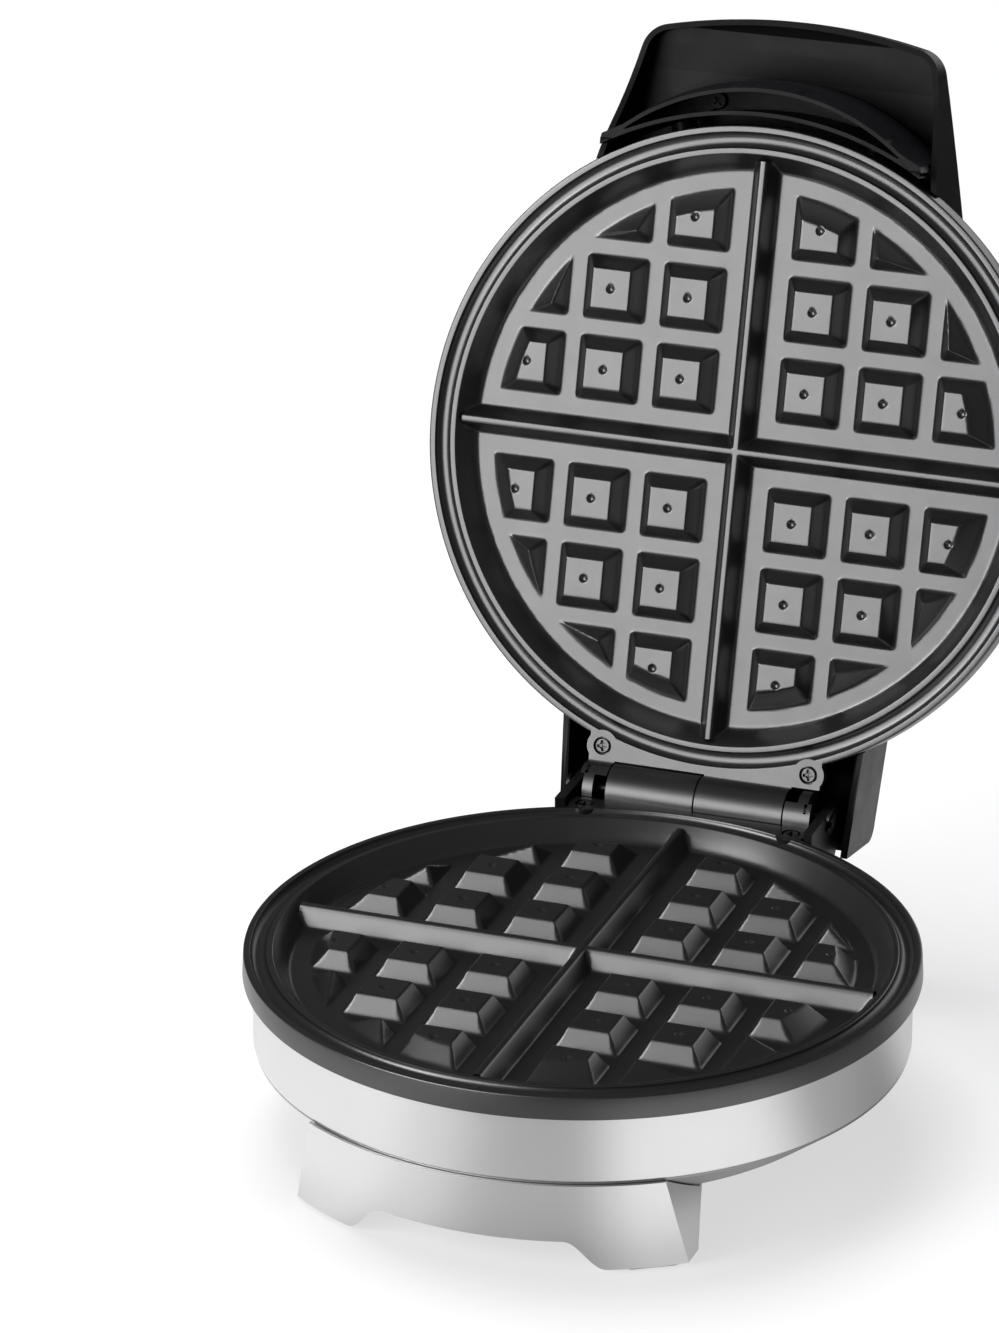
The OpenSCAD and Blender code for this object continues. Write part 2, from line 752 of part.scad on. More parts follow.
// Places of the screws that hold the hinge housing on the drum, with Y outwards
module housing_screw_places() {
  for (turn = [-1, 1]) rotate(15 * turn) translate([0, drum_r, wire_z]) children();
}

module hinge_housing_screws() {
  housing_screw_places() translate([0, -drum_wall - head_h - seat_gap, 0]) rotate([90, 0, 0])
    screw(drum_wall + head_h + seat_gap + housing_hole - fit);
}

// Pin through both cheeks and all knuckles, with a head at one end and a groove at the other
module hinge_pin() {
  x0 = -block_half - fit;
  x1 = block_half + clip_off + clip_t + 0.6;
  color(bare_steel) translate([0, hinge_y, hinge_z]) rotate([0, 90, 0])
  difference() {
    union() {
      translate([0, 0, x0 - 1]) cylinder(r = pin_r + 1.3, h = 1);
      translate([0, 0, x0 - eps]) cylinder(r = pin_r, h = x1 - x0);
    }
    translate([0, 0, block_half + clip_off - 0.1])
      difference() {
        cylinder(r = 2 * pin_r, h = clip_t + 0.2);
        translate([0, 0, -1]) cylinder(r = pin_r - 0.5, h = clip_t + 3);
      }
  }
}

module pin_clip() {
  color(bare_steel) translate([block_half + clip_off, hinge_y, hinge_z]) rotate([0, 90, 0])
  difference() {
    cylinder(r = 2 * pin_r, h = clip_t);
    translate([0, 0, -1]) cylinder(r = pin_r - 0.45, h = clip_t + 2);
    translate([-pin_r + 0.7, -3 * pin_r, -1]) cube([2 * pin_r - 1.4, 3 * pin_r, clip_t + 2]);
  }
}

module lower_element() { translate([0, 0, rim_height]) element(); }
module lower_clamps() { translate([0, 0, rim_height]) clamps(); }
module lower_shield() { translate([0, 0, rim_height]) shield(); }
module lower_shield_screws() { translate([0, 0, rim_height]) shield_screws(); }

// Thermostat pressed on the plate by its flange, which rests on the shield
module thermostat() {
  low = under_z - fit - thermostat_h - 1;
  color(bare_steel) translate([0, 0, rim_height]) {
    translate([0, 0, low]) cylinder(r = thermostat_r, h = thermostat_h + 1);
    translate([0, 0, shield_z + shield_t]) cylinder(r = thermostat_r + 2, h = 0.8);
    for (x = [-1, 1]) translate([x * 4 - 0.4, -2.4, low - 7]) cube([0.8, 4.8, 7 + eps]);
  }
}

// Thermal fuse with its two leads, below the shield
module thermal_fuse() {
  r = 1.9;
  color(satin_silver) translate([28, 0, rim_height + shield_z - fit - r]) rotate([90, 0, 0]) {
    cylinder(r = r, h = 11, center = true);
    cylinder(r = 0.5, h = 27, center = true);
  }
}

// Terminal block on the pan's floor, with a wire bore and a screw bore for each pole
module terminal_block() {
  w = 33;
  d = 15;
  h = 13;
  color(bare_steel) translate([-w / 2, 32, pan_low + pan_t])
  difference() {
    union() {
      cube([w, d, h * 0.62]);
      for (i = [0:2]) translate([i * w / 3 + 1, 2, 0]) cube([w / 3 - 2, d - 4, h]);
    }
    for (i = [0:2]) {
      translate([(i + 0.5) * w / 3, -1, h * 0.4]) rotate([-90, 0, 0]) cylinder(r = 1.8, h = d + 2);
      translate([(i + 0.5) * w / 3, d / 2, h * 0.5]) cylinder(r = 2, h = h);
    }
  }
}

// Place of the cord's inlet in the drum, with Y outwards
module gland_place() {
  rotate(36) translate([0, drum_r, gland_z]) children();
}

// Bushing in the drum's wall for the cord
module cord_gland() {
  play = 0.2;
  color(plastic_black) gland_place() rotate([-90, 0, 0])
  difference() {
    union() {
      translate([0, 0, -drum_wall - play - 1.8]) cylinder(r = gland_r, h = drum_wall + play + 6);
      translate([0, 0, -drum_wall - play - 1.8]) cylinder(r = gland_r + 2, h = 1.4);
      translate([0, 0, play]) cylinder(r = gland_r + 2, h = 2);
    }
    cylinder(r = gland_r - 1.8, h = 40, center = true);
  }
}

// ---------------------------------------------------------------- lid, drawn on the upper plate's land

// Round body of the lid, grown by off, from z0 upwards
module dome(off, z0) {
  rotate_extrude($fn = 180) polygon(concat(
    [[0, z0], [drum_r + off, z0], [drum_r + off, edge_z]],
    arc(shoulder_r, shoulder_z, lid_shoulder + off, shoulder_angle, 90, 10),
    [[0, lid_h + off]]
  ));
}

// Half width of the rear housing at y
function arm_half(y) =
  mix(arm_front_half, arm_rear_half, (y - arm_front) / (hinge_y + arm_reach - arm_front));

// Rear housing's plan, narrowed by inset, from z0 up to z1
module arm_prism(inset, z0, z1) {
  y0 = arm_root;
  y1 = hinge_y + arm_reach + 1;
  translate([0, 0, z0]) linear_extrude(z1 - z0) polygon([
    [-arm_half(y0) + inset, y0], [arm_half(y0) - inset, y0],
    [arm_half(y1) - inset, y1], [-arm_half(y1) + inset, y1]
  ]);
}

// Rear housing: two cheeks, a top and a short end wall round the base's hinge housing
module arms() {
  end = hinge_y + arm_reach;
  lean = 2.1;
  soft = 4.6;
  wall = lid_wall;
  difference() {
    intersection() {
      arm_prism(0, 0, lid_h);
      along_x(-arm_front_half - 5, arm_front_half + 5) polygon(concat(
        [[arm_root, seat_depth], [end, seat_depth]],
        arc(end - lean - soft, lid_h - soft, soft, 6, 90, 7), [[arm_root, lid_h]]
      ));
    }
    intersection() {
      arm_prism(wall, 0, lid_h);
      along_x(-arm_front_half, arm_front_half) polygon(concat(
        [[arm_root, 0], [end + 2, 0], [end + 2, arm_notch], [end - wall - 0.9, arm_notch]],
        arc(end - lean - soft, lid_h - soft - 0.8, soft - wall, 6, 90, 5),
        [[arm_root, lid_h - wall - 0.8]]
      ));
    }
    cylinder(r = plate_r + fit, h = skirt_depth + fit, $fn = 180);
    dome(-lid_wall, -1);
  }
}

module lid_housing() {
  pad_top = -pad_z;
  lid_boss = 10;
  lid_rib = 2.4;
  color(plastic_black) on_lid()
  difference() {
    union() {
      difference() {
        dome(0, seat_depth);
        dome(-lid_wall, seat_depth - 1);
      }
      arms();
      around(3, pillar_ring_r, ring_turn) translate([0, 0, pad_top])
        cylinder(r = pillar_r, h = lid_h - pad_top - lid_wall / 2);
      intersection() {
        union() {
          both_sides() translate([flange_screw_x, flange_screw_y, flange_t])
            cylinder(r = flange_boss_r - 2 * fit, h = lid_boss);
          both_sides() translate([flange_screw_x - lid_rib / 2, drum_r * 0.88, skirt_depth + fit])
            cube([lid_rib, flange_screw_y - drum_r * 0.88, flange_t + lid_boss - skirt_depth - fit]);
        }
        difference() {
          translate([-big / 2, arm_root, flange_t]) cube([big, flange_end_y - arm_root, lid_boss + 2]);
          cylinder(r = plate_r + fit, h = skirt_depth + fit, $fn = 180);
        }
      }
      handle_screw_places() translate([0, -handle_seat, 0]) rotate([-90, 0, 0])
        cylinder(r = 4, h = handle_seat - lid_wall / 2);
      board_posts();
    }
    translate([0, 0, lid_h - disc_t]) cylinder(r = disc_r + fit / 2, h = 5, $fn = 180);
    around(3, pillar_ring_r, ring_turn) {
      translate([0, 0, pad_top]) shank_hole(2 * lid_h);
      translate([0, 0, lid_h - disc_t - head_h - 0.5]) cylinder(r = head_r + fit, h = 10);
    }
    both_sides() translate([flange_screw_x, flange_screw_y, 0])
      cylinder(r = shank_r, h = boss_depth + 1);
    handle_screw_places() rotate([-90, 0, 0])
      cylinder(r = shank_r + fit / 2, h = 4 * handle_seat, center = true);
    both_sides() translate([lens_x, -lens_y, 0]) cylinder(r = lens_r + 0.1, h = big);
    translate([0, drum_r - 4, lid_h / 2]) rotate([90, 0, 0])
      cylinder(r = wire_hole_r, h = 16, center = true);
  }
}

module lid_disc() {
  edge = 0.25;
  color(satin_silver) on_lid() rotate_extrude($fn = 180) polygon([
    [0, lid_h - disc_t], [disc_r, lid_h - disc_t], [disc_r, lid_h - edge], [disc_r - edge, lid_h], [0, lid_h]
  ]);
}

// Places of the handle's screws in the lid's front wall, with Y outwards
module handle_screw_places() {
  for (turn = [-1, 1]) rotate(180 + 18 * turn) translate([0, handle_screw_r, handle_screw_z]) children();
}

module handle_screws() {
  color(bare_steel) on_lid()
    handle_screw_places() translate([0, -handle_seat - head_h - seat_gap, 0]) rotate([90, 0, 0])
      screw(handle_seat + head_h + seat_gap + handle_hole - fit);
}

// Posts from the lid's wall that carry the lamp board, with a thin pin through the board
module board_posts() {
  post_r = 2;
  out = norm([board_post_x, board_y]) + post_r - shoulder_r;
  top = shoulder_z + sqrt(pow(lid_shoulder - lid_wall / 2, 2) - pow(max(0, out), 2));
  both_sides() translate([board_post_x, -board_y, 0]) {
    translate([0, 0, board_z + board_t]) cylinder(r = post_r, h = top - board_z - board_t);
    translate([0, 0, board_z - 0.6]) cylinder(r = board_pin_r, h = board_t + 1);
  }
}

module lamp_board() {
  color("#2f6b3a") on_lid() {
    difference() {
      translate([-board_post_x - 3, -board_y - 3, board_z])
        cube([2 * board_post_x + 6, 3 + board_y - lens_y + 2.2, board_t]);
      both_sides() translate([board_post_x, -board_y, board_z - 1])
        cylinder(r = board_pin_r + eps, h = board_t + 2);
    }
    both_sides() translate([lens_x, -lens_y, board_z + board_t - eps]) cylinder(r = 1.5, h = 1.9);
  }
}

// One indicator lens with its flange below the lid's wall
module lens(x) {
  on_lid() translate([x, -lens_y, 0]) {
    translate([0, 0, lens_low]) cylinder(r = lens_r, h = lid_h - lens_low);
    translate([0, 0, lens_low]) cylinder(r = lens_r + 0.6, h = lid_h - lid_wall - fit - lens_low);
    translate([0, 0, lid_h - 3 * lens_r + 0.4]) intersection() {
      sphere(3 * lens_r, $fn = 48);
      translate([0, 0, 2 * lens_r]) cylinder(r = lens_r - 0.3, h = 2 * lens_r);
    }
  }
}
module power_lens() { color("#b3261a") lens(-lens_x); }
module ready_lens() { color("#2f9e4f") lens(lens_x); }

// ---------------------------------------------------------------- handle, drawn towards +Y, then turned

handle_h = lid_h - 0.6;
handle_slope = atan(handle_flare);
tip_y = handle_tip - handle_tip_r;

// Half width of the handle at y
function handle_w(y) = handle_half - handle_flare * (y - handle_half_at);
// Middle of the handle's rounded corner
corner_a = handle_half + handle_flare * handle_half_at - handle_corner / cos(handle_slope);
corner_b = corner_a * handle_flare + tip_y;
corner_c = 1 + handle_flare * handle_flare;
corner_d = corner_a * corner_a + tip_y * tip_y - pow(handle_tip_r - handle_corner, 2);
corner_y = (corner_b + sqrt(corner_b * corner_b - corner_c * corner_d)) / corner_c;
corner_x = corner_a - handle_flare * corner_y;
corner_end = atan2(corner_y - tip_y, corner_x);

// Right half of the handle's outline, moved in by inset
function handle_side(inset) = concat(
  [[handle_w(handle_root) - inset / cos(handle_slope), handle_root]],
  arc(corner_x, corner_y, handle_corner - inset, handle_slope, corner_end, 8),
  arc(0, tip_y, handle_tip_r - inset, corner_end, 90, 6)
);

module handle_prism(inset, z0, z1) {
  side = handle_side(inset);
  n = len(side) - 1;
  translate([0, 0, z0]) linear_extrude(z1 - z0)
    polygon(concat(side, [for (i = [n:-1:0]) [-side[i][0], side[i][1]]]));
}

// Lower edge of the handle: share of the rise at each distance from the plate's edge
edge_curve = [
  [-40, 0], [-20, 0], [-16, 0.02], [-13, 0.06], [-10, 0.12], [-7, 0.2], [-4, 0.295], [-1, 0.395],
  [2, 0.485], [5, 0.565], [8, 0.635], [11, 0.69], [14, 0.74], [18, 0.79], [22, 0.84],
  [27, 0.91], [34, 1.01]
];
// Upper side of the handle, as drops below the lid's top at each distance from the plate's edge
top_curve = [[-40, 0], [-20, 0.3], [-8, 0.9], [4, 1.9], [13, 2.9], [21, 4.1]];

// Profile of the handle's outside, as [y, z]
function handle_profile() = concat(
  [for (p = edge_curve) [plate_r + p[0], mix(handle_edge_in, handle_edge_tip, p[1])]],
  [[handle_tip + 3, handle_edge_tip]],
  arc(handle_tip - 3, handle_top_tip - 3, 3, 0, 60, 4),
  [for (i = [len(top_curve) - 1:-1:0]) [plate_r + top_curve[i][0], handle_h - top_curve[i][1]]]
);

// Profile of the handle's hollow
function hollow_profile() = concat(
  [[handle_root, -20], [handle_tip - handle_t, -20], [handle_tip - handle_t, handle_top_tip - 4.4]],
  [[handle_tip - 5, handle_top_tip - handle_t - 0.4]],
  [for (i = [len(top_curve) - 1:-1:0])
    [plate_r + top_curve[i][0], handle_h - handle_t - top_curve[i][1]]]
);

module handle_block() {
  intersection() {
    handle_prism(0, -20, lid_h);
    along_x(-80, 80) polygon(handle_profile());
  }
}

module handle() {
  color(plastic_black) on_lid()
  difference() {
    union() {
      mirror([0, 1, 0]) {
        difference() {
          handle_block();
          intersection() {
            handle_prism(handle_t, -20, lid_h);
            along_x(-80, 80) polygon(hollow_profile());
            difference() {
              translate([0, 0, -20]) cylinder(r = 2 * plate_r, h = 80);
              dome(fit + handle_t, -20);
            }
          }
        }
        liner_screw_places() translate([0, 0, liner_h])
          cylinder(r = 3.4, h = handle_h - handle_t - 1.2 - liner_h);
      }
      intersection() {
        handle_screw_places() rotate([-90, 0, 0]) cylinder(r = 4, h = handle_boss);
        mirror([0, 1, 0]) handle_prism(handle_t, 0, lid_h);
      }
    }
    dome(fit, -20);
    translate([0, 0, -20]) cylinder(r = plate_r + fit, h = 20 + skirt_depth + fit, $fn = 180);
    handle_screw_places() rotate([-90, 0, 0]) cylinder(r = shank_r, h = handle_hole);
    mirror([0, 1, 0]) liner_screw_places() translate([0, 0, liner_h - 1])
      cylinder(r = shank_r, h = liner_hole + 1);
  }
}

// Crescent between the arc round the plate and the liner's outer arc
module crescent(inner_r, outer_r, z0, z1) {
  difference() {
    translate([0, lip_y, z0]) cylinder(r = outer_r, h = z1 - z0, $fn = 180);
    translate([0, 0, z0 - 1]) cylinder(r = inner_r, h = z1 - z0 + 2, $fn = 180);
    translate([-big / 2, -big, z0 - 1]) cube([big, big, z1 - z0 + 2]);
  }
}

module liner_screw_places() {
  both_sides() translate([liner_screw_x, liner_screw_y, 0]) children();
}

module handle_liner() {
  color(plastic_black) on_lid() mirror([0, 1, 0])
  difference() {
    intersection() {
      crescent(plate_r + lip_gap, outer_lip_r + lip_t, -lip_drop, liner_h);
      handle_prism(handle_t + fit, -20, lid_h);
    }
    crescent(plate_r + lip_gap + lip_t, outer_lip_r, -lip_drop - 1, liner_h - liner_floor);
    liner_screw_places() translate([0, 0, liner_h]) shank_hole(8);
  }
}

module liner_screws() {
  on_lid() mirror([0, 1, 0]) liner_screw_places()
    translate([0, 0, liner_h - liner_floor - head_h - seat_gap]) rotate([180, 0, 0])
      screw(liner_floor + head_h + seat_gap + liner_hole - fit);
}

module upper_plate() { on_lid() rotate([0, 180, 0]) waffle_plate(); }
module upper_element() { on_lid() rotate([0, 180, 0]) element(); }
module upper_clamps() { on_lid() rotate([0, 180, 0]) clamps(); }
module upper_shield() { on_lid() rotate([0, 180, 0]) shield(); }
module upper_shield_screws() { on_lid() rotate([0, 180, 0]) shield_screws(); }

module upper_plate_screws() {
  on_lid() both_sides() translate([flange_screw_x, flange_screw_y, seat_gap]) rotate([180, 0, 0])
    screw(boss_depth);
}

// Screws below the disc, through the lid's pillars into the cast pads
module upper_pillar_screws() {
  top = lid_h - disc_t - 0.4;
  on_lid() around(3, pillar_ring_r, ring_turn) translate([0, 0, top]) screw(top + pad_z + pad_h);
}

// ---------------------------------------------------------------- what is drawn

base_shell();
base_pan();
front_foot();
rear_foot();
foot_pads();
foot_screws();
pan_screws();
lower_plate();
lower_plate_screws();
hinge_housing();
hinge_housing_screws();
hinge_pin();
pin_clip();
lower_element();
lower_clamps();
lower_shield();
lower_shield_screws();
thermostat();
thermal_fuse();
terminal_block();
cord_gland();
lid_housing();
lid_disc();
handle();
handle_screws();
handle_liner();
liner_screws();
upper_plate();
upper_plate_screws();
upper_pillar_screws();
upper_element();
upper_clamps();
upper_shield();
upper_shield_screws();
power_lens();
ready_lens();
lamp_board();
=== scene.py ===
import json
import math

import bmesh
import bpy
import numpy as np
from mathutils import Matrix, Vector


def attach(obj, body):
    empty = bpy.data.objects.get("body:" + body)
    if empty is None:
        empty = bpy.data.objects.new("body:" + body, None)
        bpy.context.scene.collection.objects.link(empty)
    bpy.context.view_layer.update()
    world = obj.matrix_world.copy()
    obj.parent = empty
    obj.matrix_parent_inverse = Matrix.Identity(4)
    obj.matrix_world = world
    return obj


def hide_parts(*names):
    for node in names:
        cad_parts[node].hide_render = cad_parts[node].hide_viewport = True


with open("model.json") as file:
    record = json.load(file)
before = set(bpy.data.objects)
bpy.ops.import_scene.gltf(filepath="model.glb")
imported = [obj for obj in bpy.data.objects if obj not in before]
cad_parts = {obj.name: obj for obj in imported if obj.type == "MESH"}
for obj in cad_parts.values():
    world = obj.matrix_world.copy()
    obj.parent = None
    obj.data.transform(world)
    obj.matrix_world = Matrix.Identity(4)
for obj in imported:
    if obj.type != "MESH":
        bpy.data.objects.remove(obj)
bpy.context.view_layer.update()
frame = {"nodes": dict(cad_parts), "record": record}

MM = 0.001
nodes = frame["nodes"]

# ---------------------------------------------------------------- sizes, as in the part's source (mm)

RIM = 56.0  # height of the lower plate's lands
GAP = 0.6  # between the two plates' lands with the lid shut
HINGE_Y = 108.8
HINGE_Z = RIM + GAP / 2
LID_OPEN = 105.6  # degrees from shut to rest
WELL = 6.5  # depth of the plates' well
FLOOR_R = 86.2  # the well's radius at its floor
WELL_R = 91.05  # and at the lands
DRUM_R = 97.2  # outside of the base's drum and of the lid's dome
RIM_CLEAR = 100.3  # where the pieces around the plate's rim begin
BACK_Y = 121.0  # back of the hinge housing and of the lid's arms
FLANGE_X, FLANGE_LOW = 37.55, -5
FLANGE_TOP = 0.012  # a hair over the lands, so that no two faces coincide
KNUCKLE_R = 8
FLANGE_SCREW_X, FLANGE_SCREW_Y = 33.5, 96
HANDLE_SCREW_X, HANDLE_SCREW_Y = 22, 105
STUD_RING = 71.5  # of the studs under the plates and of the pan's bosses
PIN_BORE, SCREW_BORE, HEAD_BORE = 2.15, 1.65, 2.9


def flip_y():
    """The lid's plate is the same casting, turned over about Y."""
    return Matrix.Rotation(math.pi, 4, "Y")


def opened():
    """From the lid's shut place to its open place, in millimetres."""
    a = Matrix.Translation((0, HINGE_Y, HINGE_Z))
    return a @ Matrix.Rotation(-math.radians(LID_OPEN), 4, "X") @ a.inverted()


TO_BASE = Matrix.Translation((0, 0, RIM))
TO_LID = opened() @ Matrix.Translation((0, 0, RIM + GAP))
TO_WORLD = Matrix.Scale(MM, 4)

# ---------------------------------------------------------------- mesh helpers


def mesh_of(name, verts, faces, merge):
    """A mesh from points in millimetres; points closer than merge become one."""
    me = bpy.data.meshes.new(name)
    me.from_pydata(verts, [], faces)
    bm = bmesh.new()
    bm.from_mesh(me)
    bmesh.ops.remove_doubles(bm, verts=bm.verts, dist=merge)
    bmesh.ops.recalc_face_normals(bm, faces=bm.faces)
    bm.to_mesh(me)
    bm.free()
    return me


def smooth(me, angle):
    """Smooth shading, with sharp edges where two faces meet at more than the angle."""
    for p in me.polygons:
        p.use_smooth = True
    if angle is not None:
        me.set_sharp_from_angle(angle=math.radians(angle))


def piece(name, me, place, body, slot, replaces, material=None):
    """Makes one object from a mesh in millimetres, placed by a matrix, that rides on a body."""
    me.transform(TO_WORLD @ place)
    me.materials.clear()
    me.materials.append(material or MAT[slot])
    o = bpy.data.objects.new(name, me)
    bpy.context.collection.objects.link(o)
    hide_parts(*replaces)
    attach(o, body)


def lathe(profile, segments):
    """Points and faces of an open profile of (radius, height) turned about Z."""
    verts, faces = [], []
    for i in range(segments):
        a = math.radians(360.0 * i / segments)
        c, s = math.cos(a), math.sin(a)
        for r, z in profile:
            verts.append((r * c, r * s, z))
    k = len(profile)
    for i in range(segments):
        j = (i + 1) % segments
        for q in range(k - 1):
            faces.append((i * k + q, j * k + q, j * k + q + 1, i * k + q + 1))
    return verts, faces


def arc_points(cx, cy, r, a0, a1, n):
    """Points of an arc about (cx, cy) from a0 to a1 degrees, in n steps."""
    return [(cx + r * math.cos(math.radians(a0 + (a1 - a0) * i / n)),
             cy + r * math.sin(math.radians(a0 + (a1 - a0) * i / n))) for i in range(n + 1)]


def rounded(points, closed=False):
    """Rounds the corners of a list of (a, b, radius) and returns (a, b) points."""
    steps = 4
    room = 0.48  # share of a side that one corner may take
    out = []
    n = len(points)
    for i, (x, y, r) in enumerate(points):
        if (not closed and i in (0, n - 1)) or r <= 0:
            out.append((x, y))
            continue
        p = Vector((x, y))
        a = Vector(points[i - 1][:2]) - p
        b = Vector(points[(i + 1) % n][:2]) - p
        la, lb = a.length, b.length
        a.normalize()
        b.normalize()
        half = a.angle(b) / 2
        if half > math.pi / 2 - 1e-3:
            out.append((x, y))
            continue
        t = min(r / math.tan(half), la * room, lb * room)
        rr = t * math.tan(half)
        bis = (a + b).normalized()
        c = p + bis * (rr / math.sin(half))
        p0 = p + a * t - c
        p1 = p + b * t - c
        a0 = math.atan2(p0.y, p0.x)
        sweep = math.atan2(p1.y, p1.x) - a0
        while sweep > math.pi:
            sweep -= 2 * math.pi
        while sweep < -math.pi:
            sweep += 2 * math.pi
        for k in range(steps + 1):
            w = a0 + sweep * k / steps
            out.append((c.x + rr * math.cos(w), c.y + rr * math.sin(w)))
    return out


# ---------------------------------------------------------------- materials


def node(tree, kind, **settings):
    n = tree.nodes.new(kind)
    for k, v in settings.items():
        setattr(n, k, v)
    return n


def plain(name, color, rough, metallic, **sockets):
    """A material with its constants on the shader's own sockets, and its object coordinates."""
    m = bpy.data.materials.new(name)
    m.use_nodes = True
    t = m.node_tree
    t.nodes.clear()
    out = node(t, "ShaderNodeOutputMaterial")
    b = node(t, "ShaderNodeBsdfPrincipled")
    b.inputs["Base Color"].default_value = (*color, 1.0)
    b.inputs["Roughness"].default_value = rough
    b.inputs["Metallic"].default_value = metallic
    for k, v in sockets.items():
        b.inputs[k.replace("_", " ")].default_value = v
    t.links.new(b.outputs[0], out.inputs[0])
    return m, t, b, node(t, "ShaderNodeTexCoord").outputs["Object"]


def noise(t, co, scale, detail, rough=0.55, stretch=None):
    n = node(t, "ShaderNodeTexNoise")
    n.inputs["Scale"].default_value = scale
    n.inputs["Detail"].default_value = detail
    n.inputs["Roughness"].default_value = rough
    if stretch:
        mp = node(t, "ShaderNodeMapping")
        mp.inputs["Scale"].default_value = stretch
        t.links.new(co, mp.inputs["Vector"])
        co = mp.outputs[0]
    t.links.new(co, n.inputs["Vector"])
    return n.outputs["Fac"]


def vary_color(t, b, fac, color, low, high):
    """Lets the base colour drift between two shares of itself."""
    r = node(t, "ShaderNodeValToRGB")
    r.color_ramp.elements[0].position = 0.25
    r.color_ramp.elements[1].position = 0.75
    r.color_ramp.elements[0].color = (*[min(1, c * low) for c in color], 1)
    r.color_ramp.elements[1].color = (*[min(1, c * high) for c in color], 1)
    t.links.new(fac, r.inputs[0])
    t.links.new(r.outputs[0], b.inputs["Base Color"])


def vary_rough(t, b, fac, low, high):
    """Lets the roughness drift between two values."""
    r = node(t, "ShaderNodeMapRange")
    r.inputs["From Min"].default_value = 0.3
    r.inputs["From Max"].default_value = 0.7
    r.inputs["To Min"].default_value = low
    r.inputs["To Max"].default_value = high
    t.links.new(fac, r.inputs["Value"])
    t.links.new(r.outputs[0], b.inputs["Roughness"])


def bump(t, b, height, strength, distance):
    n = node(t, "ShaderNodeBump")
    n.inputs["Strength"].default_value = strength
    n.inputs["Distance"].default_value = distance
    t.links.new(height, n.inputs["Height"])
    t.links.new(n.outputs[0], b.inputs["Normal"])


def satin(name, color, rough, metallic=0.0, grain=2600.0, depth=0.10, drift=(0.9, 1.1), spread=0.05,
          **sockets):
    """Smooth moulded, cast or lacquered surface with a fine grain, and slow drift of colour and gloss."""
    m, t, b, co = plain(name, color, rough, metallic, **sockets)
    big = noise(t, co, 38.0, 4.0)
    small = noise(t, co, grain, 2.0, 0.6)
    vary_color(t, b, big, color, *drift)
    vary_rough(t, b, noise(t, co, 120.0, 5.0, 0.65), rough - spread, rough + spread)
    bump(t, b, small, depth, 0.00012)
    return m


def brushed(name, color, rough, along, depth=0.12):
    """Brushed or rolled metal; along is the grain's scale on each axis, smallest along the streaks."""
    m, t, b, co = plain(name, color, rough, 1.0)
    streak = noise(t, co, 1.0, 4.0, 0.6, stretch=along)
    vary_color(t, b, streak, color, 0.86, 1.1)
    vary_rough(t, b, streak, rough - 0.06, rough + 0.08)
    bump(t, b, streak, depth, 0.00005)
    return m


SILVER = {"metallic": 0.92, "grain": 1800.0, "depth": 0.05, "drift": (0.98, 1.01), "spread": 0.02}
BLACK = (0.008, 0.008, 0.009)
EVEN = (900.0, 900.0, 900.0)  # no streaks

MAT = {
    "plate_coating": satin("plate_coating", (0.115, 0.115, 0.117), 0.32, 0.94, grain=3200.0, depth=0.12,
                           drift=(0.97, 1.03), spread=0.015),
    "drum_silver": satin("drum_silver", (0.77, 0.77, 0.775), 0.3, **SILVER),
    # pan_silver is the drum's silver made darker and rougher: painted shade, for the pan's underside in the
    # drum's shadow
    "pan_silver": satin("pan_silver", (0.36, 0.36, 0.365), 0.45, 0.85, grain=2400.0, depth=0.06,
                        drift=(0.95, 1.03)),
    "foot_silver": satin("foot_silver", (0.77, 0.77, 0.775), 0.3, **SILVER),
    "housing_black": satin("housing_black", BLACK, 0.42, grain=3600.0, depth=0.2, Specular_IOR_Level=0.2),
    "lid_black": satin("lid_black", BLACK, 0.36, grain=3600.0, depth=0.16, Specular_IOR_Level=0.2),
    "handle_black": satin("handle_black", BLACK, 0.36, grain=3600.0, depth=0.16, Specular_IOR_Level=0.13),
    # liner_black is a touch darker than the other black plastics: painted shade, so that the deep slot inside
    # the liner reads black
    "liner_black": satin("liner_black", (0.005, 0.005, 0.006), 0.38, grain=3600.0, depth=0.2,
                         Specular_IOR_Level=0.12),
    "pad_rubber": satin("pad_rubber", (0.02, 0.02, 0.02), 0.75, grain=2500.0, depth=0.3),
    "gland_rubber": satin("gland_rubber", (0.018, 0.018, 0.018), 0.65, grain=2500.0, depth=0.3),
    "screw_steel": brushed("screw_steel", (0.3, 0.3, 0.31), 0.34, along=EVEN),
    "flange_screw": brushed("flange_screw", (0.14, 0.14, 0.142), 0.38, along=EVEN),
    "screw_black": brushed("screw_black", (0.015, 0.015, 0.016), 0.42, along=EVEN),
    "pin_steel": brushed("pin_steel", (0.05, 0.05, 0.053), 0.34, along=(20.0, 1500.0, 1500.0)),
    "element_steel": satin("element_steel", (0.30, 0.28, 0.26), 0.45, 1.0, grain=1500.0, drift=(0.7, 1.2)),
    "sheet_steel": brushed("sheet_steel", (0.55, 0.55, 0.56), 0.36, along=(4.0, 1200.0, 1200.0)),
    "thermostat_metal": brushed("thermostat_metal", (0.7, 0.7, 0.71), 0.34, along=(800.0, 800.0, 30.0)),
    "fuse_metal": brushed("fuse_metal", (0.7, 0.7, 0.72), 0.3, along=(900.0, 20.0, 900.0)),
    "terminal_plastic": satin("terminal_plastic", (0.72, 0.70, 0.64), 0.5, depth=0.1),
    "disc_steel": brushed("disc_steel", (0.62, 0.62, 0.63), 0.3, along=(6.0, 1500.0, 1500.0), depth=0.1),
    "lens_red": satin("lens_red", (0.5, 0.02, 0.015), 0.12, depth=0.02, Coat_Weight=0.4),
    "lens_green": satin("lens_green", (0.03, 0.33, 0.08), 0.12, depth=0.02, Coat_Weight=0.4),
    "board_green": satin("board_green", (0.03, 0.15, 0.06), 0.45, depth=0.1),
}

for row in frame["record"]["subparts"]:
    for material_slot in nodes[row["node"]].material_slots:
        material_slot.material = MAT[row["material_slot"]]


